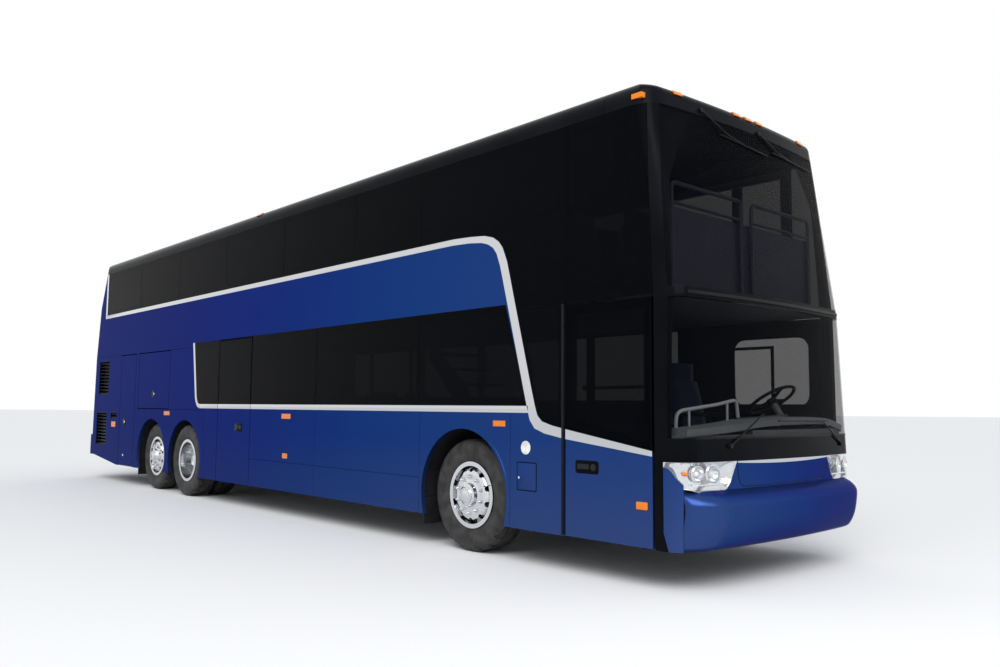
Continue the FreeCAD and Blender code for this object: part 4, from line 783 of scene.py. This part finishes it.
# height, how far back from the tip
BUMPER_CURVE = [(0.29, 0.19), (0.312, 0.118), (0.345, 0.072), (0.45, 0.024), (0.6, 0.001),
                (0.655, 0.01), (0.7, 0.052), (0.735, 0.118)]


def eased_curve(points):
    """A smooth path through the points, four steps from each to the next."""
    path = []
    ends = points[:1] + points + points[-1:]
    for near in zip(ends, ends[1:], ends[2:], ends[3:]):
        for t in (0.0, 0.25, 0.5, 0.75):
            path.append(tuple(b + 0.5 * t * (c - a + t * (
                2 * a - 5 * b + 4 * c - d + t * (3 * (b - c) + d - a)))
                for a, b, c, d in zip(*near)))
    return path + points[-1:]


def bumper_plan():
    """Right half of the bumper in plan: how far back from the tip, and distance out."""
    inner = BUMPER_CROWN - BUMPER_CORNER
    centre_y = BUMPER_HALF - BUMPER_CORNER
    centre_x = math.sqrt(inner ** 2 - centre_y ** 2) - BUMPER_CROWN
    meet = math.asin(centre_y / inner)
    last = math.asin((BUMPER_END - centre_y) / BUMPER_CORNER)
    crown = [(BUMPER_CROWN * (math.cos(angle) - 1), BUMPER_CROWN * math.sin(angle))
             for angle in spread(0, meet, 14)[:-1]]
    return crown + [(centre_x + BUMPER_CORNER * math.cos(angle),
                     centre_y + BUMPER_CORNER * math.sin(angle))
                    for angle in spread(meet, last, 12)]


def front_bumper():
    half = bumper_plan()
    plan = [(x, -y) for x, y in reversed(half[1:])] + half
    bm = bmesh.new()
    sheet(bm, [[(BUMPER_NOSE - max(back, 0.001) + x, y, z) for x, y in plan]
               for z, back in eased_curve(BUMPER_CURVE)], (-0.03, 0, 0))
    made = piece("bumper_moulding", bm, BODY, BLUE, 50.0)
    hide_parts("front_bumper")


front_bumper()


# ---- headlamps
LAMP_UNITS = ((0.96, 0.858, 0.058), (1.125, 0.86, 0.05))  # y, z and radius
LAMP_TURN = (1.215, 0.862)
LAMP_DOTS = (0.8, 1.16, 0.778)  # from y to y, at z


def merged_copy(node, distance):
    bm = bmesh.new()
    bm.from_mesh(nodes[node].data)
    bmesh.ops.remove_doubles(bm, verts=bm.verts, dist=distance)
    return bm


def headlamp_shell(name, side, outer, thickness, material):
    """The outer skin of one lamp solid, or the tray behind it, with a thin wall."""
    bm = merged_copy("headlamps", 0.00002)
    bmesh.ops.delete(bm, geom=[f for f in bm.faces if f.calc_center_median().y * side < 0],
                     context="FACES")
    spare = []
    for face in bm.faces:
        centre = face.calc_center_median()
        away = Vector((centre.x - 6.3, centre.y - side * 0.75, 0)).normalized()
        if (face.normal.dot(away) > 0.55) != outer:
            spare.append(face)
    bmesh.ops.delete(bm, geom=spare, context="FACES")
    bmesh.ops.solidify(bm, geom=bm.faces[:], thickness=thickness)
    return piece(name, bm, BODY, material, 50.0)


def headlamp(side, side_name):
    """Lens, bright tray, two bowls with their bulbs, a row of small lamps and the turn lamp."""
    shell = headlamp_shell("headlamp_lens_" + side_name, side, True, 0.003, CLEAR)
    headlamp_shell("headlamp_tray_" + side_name, side, False, 0.0015, CHROME)
    bowls, bulbs, amber = bmesh.new(), bmesh.new(), bmesh.new()
    axis = Vector((1.0, side * 0.3, 0.0)).normalized()
    for y, z, radius in LAMP_UNITS:
        place = Vector((front_x(side * y, z) - 0.012, side * y, z))
        lathe(bowls, [(0.0, radius), (0.004, radius - 0.004), (-0.01, radius * 0.8),
                      (-0.024, radius * 0.55), (-0.032, radius * 0.3), (-0.034, 0.0)],
              place, axis, 36)
        lathe(bowls, [(-0.004, radius), (0.006, radius + 0.004), (0.002, radius + 0.01),
                      (-0.006, radius + 0.01)], place, axis, 36)
        ball(bulbs, place - axis * 0.02, radius * 0.42, 20)
    *ends, z = LAMP_DOTS
    for y in spread(*ends, 13):
        ball(bowls, (front_x(side * y, z) - 0.01, side * y, z), 0.009)
    y, z = LAMP_TURN
    ball(amber, (front_x(side * y, z) - 0.014, side * y, z), 0.022, 16, (1.0, 1.4, 0.7))
    piece("headlamp_bowls_" + side_name, bowls, BODY, CHROME)
    piece("headlamp_bulbs_" + side_name, bulbs, BODY, WHITE_CAP)
    piece("headlamp_turn_" + side_name, amber, BODY, AMBER)
    return shell


lamp_lenses = [headlamp(*flank) for flank in SIDES]
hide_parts("headlamps")


# ---- front trim and wipers
CHIN_HALF = 0.688
CHIN_TOP = 0.944
CHIN_SEAM = [(-0.69, 0.925), (-0.672, 0.82), (-0.65, 0.775), (-0.61, 0.752), (0.61, 0.752),
             (0.65, 0.775), (0.672, 0.82), (0.69, 0.925)]
# foot, elbow and the two ends of the blade, each (y, z)
WIPERS = (((-0.774, 1.059), (-0.349, 1.3), (-0.7, 1.262), (0.02, 1.292)),
          ((1.002, 1.04), (0.625, 1.232), (-0.127, 1.244), (0.728, 1.24)),
          ((-0.702, 3.745), (-0.42, 3.6), (-0.497, 3.58), (0.198, 3.534)),
          ((0.103, 3.722), (0.39, 3.6), (0.317, 3.587), (1.04, 3.567)))


def chin_strip():
    """Bright strip over the chin, thin at its ends."""
    rows = []
    for share in (0.0, 1.0):
        line = [(y, CHIN_TOP - (0.012 + 0.016 * (1 - (y / CHIN_HALF) ** 2)) * share)
                for y in spread(-CHIN_HALF, CHIN_HALF, 32)]
        rows.append([(front_x(y, z) - SINK, y, z) for y, z in line])
    bm = bmesh.new()
    sheet(bm, rows, (0.005, 0, 0))
    piece("chin_strip", bm, BODY, BRIGHT)


def chin_seam():
    """Dark joint round the chin panel."""
    bm = bmesh.new()
    pipe(bm, [(front_x(y, z), y, z) for y, z in walk(CHIN_SEAM, 24, 3)], 0.0032, 0.004)
    piece("chin_seam", bm, BODY, TRIM)


def screen_mouldings():
    banded("screen_mouldings", BODY, "black_trim", TRIM, FRONT,
           ((-1.15, 1.15), (2.196, 2.222), 0.008, 48), ((-1.15, 1.15), (1.112, 1.126), 0.005, 48))


def on_glass(place, stand):
    return Vector((front_x(*place) + stand, *place))


def wiper(bm, base, elbow, *blade):
    """Arm, elbow and blade lying just off the glass."""
    tip = on_glass(elbow, 0.022)
    rod(bm, on_glass(base, -0.004), on_glass(base, 0.022), 0.02, 20)
    rod(bm, on_glass(base, 0.012), tip, 0.009, 10, 0.006)
    start, end = (on_glass(place, 0.014) for place in blade)
    rod(bm, start, end, 0.006, 8)
    lip = Vector((-0.006, 0, 0))
    rod(bm, start + lip, end + lip, 0.004, 6)
    rod(bm, tip, (start + end) / 2, 0.006, 8)


chin_strip()
chin_seam()
screen_mouldings()
wipers = bmesh.new()
for places in WIPERS:
    wiper(wipers, *places)
piece("wipers", wipers, BODY, TRIM)


# ---- seats
PLACE_WIDTH = 0.48
SQUEEZE = 0.22  # how far a cushion's corners pull in


def islands(node):
    """Lowest and highest corner of each loose solid of a node."""
    bm = merged_copy(node, 0.00005)
    seen, boxes = set(), []
    for start in bm.verts:
        if start in seen:
            continue
        seen.add(start)
        members = [start]
        for vert in members:
            for edge in vert.link_edges:
                other = edge.other_vert(vert)
                if other not in seen:
                    seen.add(other)
                    members.append(other)
        spans = list(zip(*(vert.co for vert in members)))
        boxes.append((Vector([min(span) for span in spans]), Vector([max(span) for span in spans])))
    bm.free()
    return boxes


def pad(bm, low, high, lean=0.0, crown=0.0):
    """A crowned cushion that pulls in at its corners, then leans back."""
    low, high = Vector(low), Vector(high)
    start = len(bm.verts)
    made = bmesh.ops.create_cube(bm, size=2.0)
    faces = list({face for vert in made["verts"] for face in vert.link_faces})
    edges = list({edge for face in faces for edge in face.edges})
    bmesh.ops.subdivide_edges(bm, edges=edges, cuts=3, use_grid_fill=True)
    bm.verts.ensure_lookup_table()
    centre, half = (low + high) / 2, (high - low) / 2
    for vert in bm.verts[start:]:
        u, v, w = vert.co
        round_way = vert.co.normalized() * max(abs(u), abs(v), abs(w))
        soft = vert.co.lerp(round_way, SQUEEZE)
        soft.z *= 1.0 + crown * (1 - u * u) * (1 - v * v)
        vert.co = soft * half + centre
        vert.co.x -= lean * (vert.co.z - low.z)


def seat(pads, frames, low, high):
    """Soft seat for each place of a seat solid: cushion, back and head roll on a frame."""
    x, floor = low.x + 0.19, low.z
    places = max(1, round((high.y - low.y) / PLACE_WIDTH))
    width = (high.y - low.y) / places
    for number in range(places):
        y0 = low.y + width * number + 0.012
        y1 = y0 + width - 0.024
        pad(pads, (x + 0.005, y0, floor + 0.375), (x + 0.462, y1, floor + 0.47), crown=0.1)
        pad(pads, (x - 0.085, y0, floor + 0.47), (x + 0.03, y1, floor + 0.93), lean=0.235)
        pad(pads, (x - 0.18, y0 + 0.06, floor + 0.9), (x - 0.085, y1 - 0.06, floor + 1.095))
    block(frames, (x - 0.01, low.y, floor + 0.335), (x + 0.44, high.y, floor + 0.375), 0.006)
    for y in (low.y + 0.1, high.y - 0.14):
        block(frames, (x + 0.1, y, floor), (x + 0.3, y + 0.04, floor + 0.34), 0.005)
    for y in (low.y, high.y - 0.035):
        block(frames, (x + 0.02, y, floor + 0.565), (x + 0.33, y + 0.035, floor + 0.6), 0.012)
        block(frames, (x + 0.01, y + 0.005, floor + 0.36), (x + 0.06, y + 0.03, floor + 0.575),
              0.005)


def seats(deck):
    pads, frames = bmesh.new(), bmesh.new()
    for box in islands(deck + "_seats"):
        seat(pads, frames, *box)
    cushions = piece(deck + "_seat_pads", pads, BODY, CLOTH, 80.0)
    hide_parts(deck + "_seats")
    piece(deck + "_seat_frames", frames, BODY, FRAME_PAINT)


seats("upper")
seats("lower")


# ---- cab
CAB_WINDOW = (5.46, 6.27, 1.37, 2.03)  # opening beside the driver: x0, x1, z0, z1
CAB_LINING = (-0.064, -0.054)  # depths of the lining's two faces
DASH_CROWN = [(-1.18, 1.19), (-0.9, 1.205), (-0.6, 1.228), (-0.28, 1.258), (0.2, 1.272),
              (0.8, 1.268), (1.18, 1.2)]
# share of the way to the windscreen, and how far below the crown
DASH_ROLL = ((0.0, 0.06), (0.012, 0.018), (0.05, 0.0), (0.6, 0.0), (1.0, 0.006))
RAIL_X = 6.45
RAIL_PATH = [(-1.112, 1.18), (-1.108, 1.29), (-1.05, 1.322), (-0.571, 1.371), (-0.3, 1.412),
             (-0.276, 1.27)]


def driver_window():
    """Dark lining that leaves the driver's window open, and the window's own frame."""
    x0, x1, z0, z1 = CAB_WINDOW
    post, top = 5.894, 1.962
    bm = bmesh.new()
    ribbon(bm, rounded(4.76, 6.386, 1.0, 2.196, 0.01), rounded(*CAB_WINDOW, 0.11), LEFT,
           *CAB_LINING, closed=True)
    piece("cab_side_lining", bm, BODY, TRIM)
    bm = bmesh.new()
    block(bm, (post - 0.032, 1.236, z0), (post, 1.252, top), 0.004)
    block(bm, (x0, 1.236, top - 0.03), (post, 1.252, top), 0.004)
    block(bm, (x0, 1.236, z0 - 0.01), (x1, 1.25, z0 + 0.018), 0.004)
    piece("driver_window_frame", bm, BODY, TRIM)


def dash_cover():
    """Pale padded top over the dashboard, higher towards the middle."""
    rows = []
    for reach, drop in DASH_ROLL:
        row = []
        for y, z in eased_curve(DASH_CROWN):
            rear, front = 6.395 + 0.02 * math.cos(y), front_x(y, z) - 0.03
            row.append((rear + (front - rear) * reach, y, z - drop))
        rows.append(row)
    bm = bmesh.new()
    sheet(bm, rows, (0, 0, -0.055))
    piece("dash_cover", bm, BODY, COVER, 60.0)


def dash_rail():
    bm = bmesh.new()
    pipe(bm, [(RAIL_X, y, z) for y, z in RAIL_PATH], 0.014, 0.05)
    for y, z in ((-0.944, 1.327), (-0.43, 1.387)):
        rod(bm, (RAIL_X, y, 1.19), (RAIL_X, y, z), 0.01)
    piece("dash_rail", bm, BODY, PALE)


def dash_binnacle():
    """Hood over the dials, with switch panels beside it."""
    hoods, dials = bmesh.new(), bmesh.new()
    block(hoods, (6.25, 0.43, 1.16), (6.44, 0.97, 1.262), 0.03, 3)
    block(hoods, (6.18, 1.0, 1.06), (6.42, 1.2, 1.205), 0.02, 3)
    block(hoods, (6.23, 0.02, 1.15), (6.42, 0.39, 1.225), 0.02, 3)
    for y in (0.56, 0.7, 0.84):
        lathe(dials, [(0.0, 0.05), (0.006, 0.05), (0.006, 0.043), (0.002, 0.04), (0.002, 0.0)],
              (6.248, y, 1.212), (-1, 0, 0.12), 28)
    for n in range(8):
        block(dials, (6.222, 0.045 + 0.042 * n, 1.182), (6.231, 0.073 + 0.042 * n, 1.204), 0.003)
    piece("dash_binnacle", hoods, BODY, TRIM)
    piece("dash_dials", dials, BODY, CHROME)


driver_window()
dash_cover()
dash_rail()
dash_binnacle()


# ---- rear
ENGINE_DOOR = "engine_door"
TAIL_LAMP_Y = 1.105
TAIL_LAMP_HEIGHTS = (1.08, 1.25, 1.42, 1.57)
GRILLE = (1.8, 2.09)  # lowest and highest line of the grille


def tail_lamp_rings():
    bm = bmesh.new()
    for y in (RIGHT * TAIL_LAMP_Y, LEFT * TAIL_LAMP_Y):
        for z in TAIL_LAMP_HEIGHTS:
            lathe(bm, [(0.001, 0.052), (0.006, 0.052), (0.008, 0.046), (0.005, 0.04),
                       (0.009, 0.018), (0.01, 0.0)], (rear_x(y, z), y, z), (-1, 0, 0), 28)
    piece("tail_lamp_rings", bm, BODY, RED)


def rear_window_gasket():
    """Black rubber round the rear pane."""
    low, high = [box for box in islands("body_glass") if box[0].y < -0.3 and box[1].y > 0.3][0]
    corners = [(0.0, low.z), (high.y, low.z), (high.y, high.z), (low.y, high.z), (low.y, low.z),
               (0.0, low.z)]
    path = [(rear_x(y * 0.999, min(z, high.z - 0.002)), y, z) for y, z in walk(corners, 12, 12)]
    bm = bmesh.new()
    pipe(bm, path + path[:1], 0.011, 0.01)
    piece("rear_window_gasket", bm, BODY, TRIM)


def high_brake_lamp():
    banded("high_brake_lamp", BODY, "lamp_red", RED, REAR,
           ((-0.26, 0.26), (3.615, 3.655), 0.012, 12))


def engine_grille():
    """Slats over a black sheet that is painted shade for the opening in the engine door."""
    # black sheet at the door face: painted shade standing in for the dark opening behind the slats
    banded("engine_grille_shade_sheet", ENGINE_DOOR, "black_trim", BLACK, REAR,
           ((-0.64, 0.64), GRILLE, 0.001, 16))
    level = [1.815 + 0.031 * number for number in range(9)]
    banded("engine_grille_slats", ENGINE_DOOR, "black_trim", TRIM, REAR,
           *(((-0.63, 0.63), (z, z + 0.016), 0.009, 16) for z in level),
           *(((y, y + 0.015), GRILLE, 0.007, 1) for y in (-0.64, -0.215, 0.2, 0.625)))


def plate_holder():
    """Bare number plate in a black tray with two small lamps over it."""
    banded("plate_tray", ENGINE_DOOR, "black_trim", TRIM, REAR,
           ((-0.18, 0.18), (0.985, 1.165), 0.006, 8))
    banded("plate_bare", ENGINE_DOOR, "rail_bright", WHITE_CAP, REAR,
           ((-0.152, 0.152), (0.999, 1.151), 0.009, 8))
    banded("plate_lamps", ENGINE_DOOR, "black_trim", TRIM, REAR,
           *(((y - 0.035, y + 0.035), (1.172, 1.196), 0.022, 2) for y in (-0.1, 0.1)))


def engine_latches():
    pair = (-0.62, 0.62)
    banded("engine_latch_dishes", ENGINE_DOOR, "black_trim", BLACK, REAR,
           *(((y - 0.085, y + 0.085), (0.85, 0.93), 0.002, 4) for y in pair))
    banded("engine_latch_bars", ENGINE_DOOR, "rail_bright", CHROME, REAR,
           *(((y - 0.06, y + 0.06), (0.885, 0.915), 0.008, 4) for y in pair))


def rear_reflectors():
    banded("rear_reflectors", BODY, "lamp_red", RED, (-1, depth_finder(-1, "rear_bumper")),
           *(((y, y + 0.12), (0.6, 0.64), 0.003, 4) for y in (-1.02, 0.9)))


def engine_sill():
    """Dark bar under the engine door."""
    bm = bmesh.new()
    block(bm, (-6.775, -1.15, 0.65), (-6.54, 1.15, 0.783), 0.006)
    piece("engine_sill", bm, BODY, TRIM)


def tail_pipe():
    """The tail pipe and its hanger."""
    bm = bmesh.new()
    lathe(bm, [(0.0, 0.046), (0.0, 0.052), (0.3, 0.052), (0.3, 0.046), (0.0, 0.046)],
          (-6.7, 0.78, 0.392), (1, 0, 0), 32)
    block(bm, (-6.56, 0.765, 0.44), (-6.535, 0.795, 0.56), 0.003)
    piece("tail_pipe", bm, BODY, STEEL)


for rear_piece in (tail_lamp_rings, rear_window_gasket, high_brake_lamp, engine_grille,
                   plate_holder, engine_latches, rear_reflectors, engine_sill, tail_pipe):
    rear_piece()


# ---- floor, light and camera
def studio_floor():
    bm = bmesh.new()
    bmesh.ops.create_grid(bm, x_segments=1, y_segments=1, size=400.0)
    mesh = mesh_of("studio_floor", bm)
    pale = Finish("studio_floor", (0.86, 0.86, 0.86), 0.9, level=0.1)
    mesh.materials.append(pale.material)
    link("studio_floor", mesh)


def studio_world(strength, shown):
    """Soft surround; what the camera, metal and glass see is paler than what lights the coach."""
    world = bpy.data.worlds.new("studio")
    bpy.context.scene.world = world
    world.use_nodes = True
    tree = world.node_tree
    light = tree.nodes["Background"]
    light.inputs["Color"].default_value = (0.93, 0.96, 1.0, 1.0)
    light.inputs["Strength"].default_value = strength
    seen = add_node(tree, "Background", {"Color": (1.0, 1.0, 1.0, 1.0), "Strength": shown})
    path = add_node(tree, "LightPath")
    either = path["Is Camera Ray"]
    for name in ("Is Glossy Ray", "Is Transmission Ray"):
        either = add_node(tree, "Math", {0: either, 1: path[name]}, operation="MAXIMUM")["Value"]
    mix = add_node(tree, "MixShader", {"Fac": either, 1: light.outputs["Background"],
                                       2: seen["Background"]})
    tree.links.new(mix["Shader"], tree.nodes["World Output"].inputs["Surface"])


def lamp(name, kind, place, aim, power, **shape):
    """A light at a place, turned to what it lights."""
    light = bpy.data.lights.new(name, kind)
    light.energy = power
    for key, value in shape.items():
        setattr(light, key, value)
    holder = link(name, light)
    holder.location = place
    holder.rotation_euler = (Vector(aim) - Vector(place)).to_track_quat("-Z", "Y").to_euler()


def softbox(name, place, aim, size, power):
    lamp(name, "AREA", place, aim, power, shape="RECTANGLE", size=size[0], size_y=size[1])


def camera(place, heading, pitch, roll):
    data = bpy.data.cameras.new("camera")
    data.sensor_width = 36.0
    data.lens = 31.07
    data.clip_end = 200.0
    holder = link("camera", data)
    upright = math.pi / 2
    holder.matrix_world = (Matrix.Translation(place) @ Matrix.Rotation(heading - upright, 4, "Z")
                           @ Matrix.Rotation(upright + pitch, 4, "X")
                           @ Matrix.Rotation(roll, 4, "Z"))
    bpy.context.scene.camera = holder


studio_floor()
studio_world(0.72, 1.0)
lamp("soft_sun", "SUN", (7.0, -8.0, 11.0), (0.0, 0.0, 0.0), 1.15, angle=math.radians(40.0))
softbox("key", (10.0, -12.0, 11.0), (1.0, 0.0, 1.5), (12.0, 7.0), 450.0)
softbox("front", (13.0, -3.0, 5.5), (6.5, 0.0, 0.6), (6.0, 3.0), 170.0)
camera((10.394, -6.4505, 1.333), 2.4078, 0.0857, 0.008)
bpy.context.scene.view_settings.view_transform = "Standard"
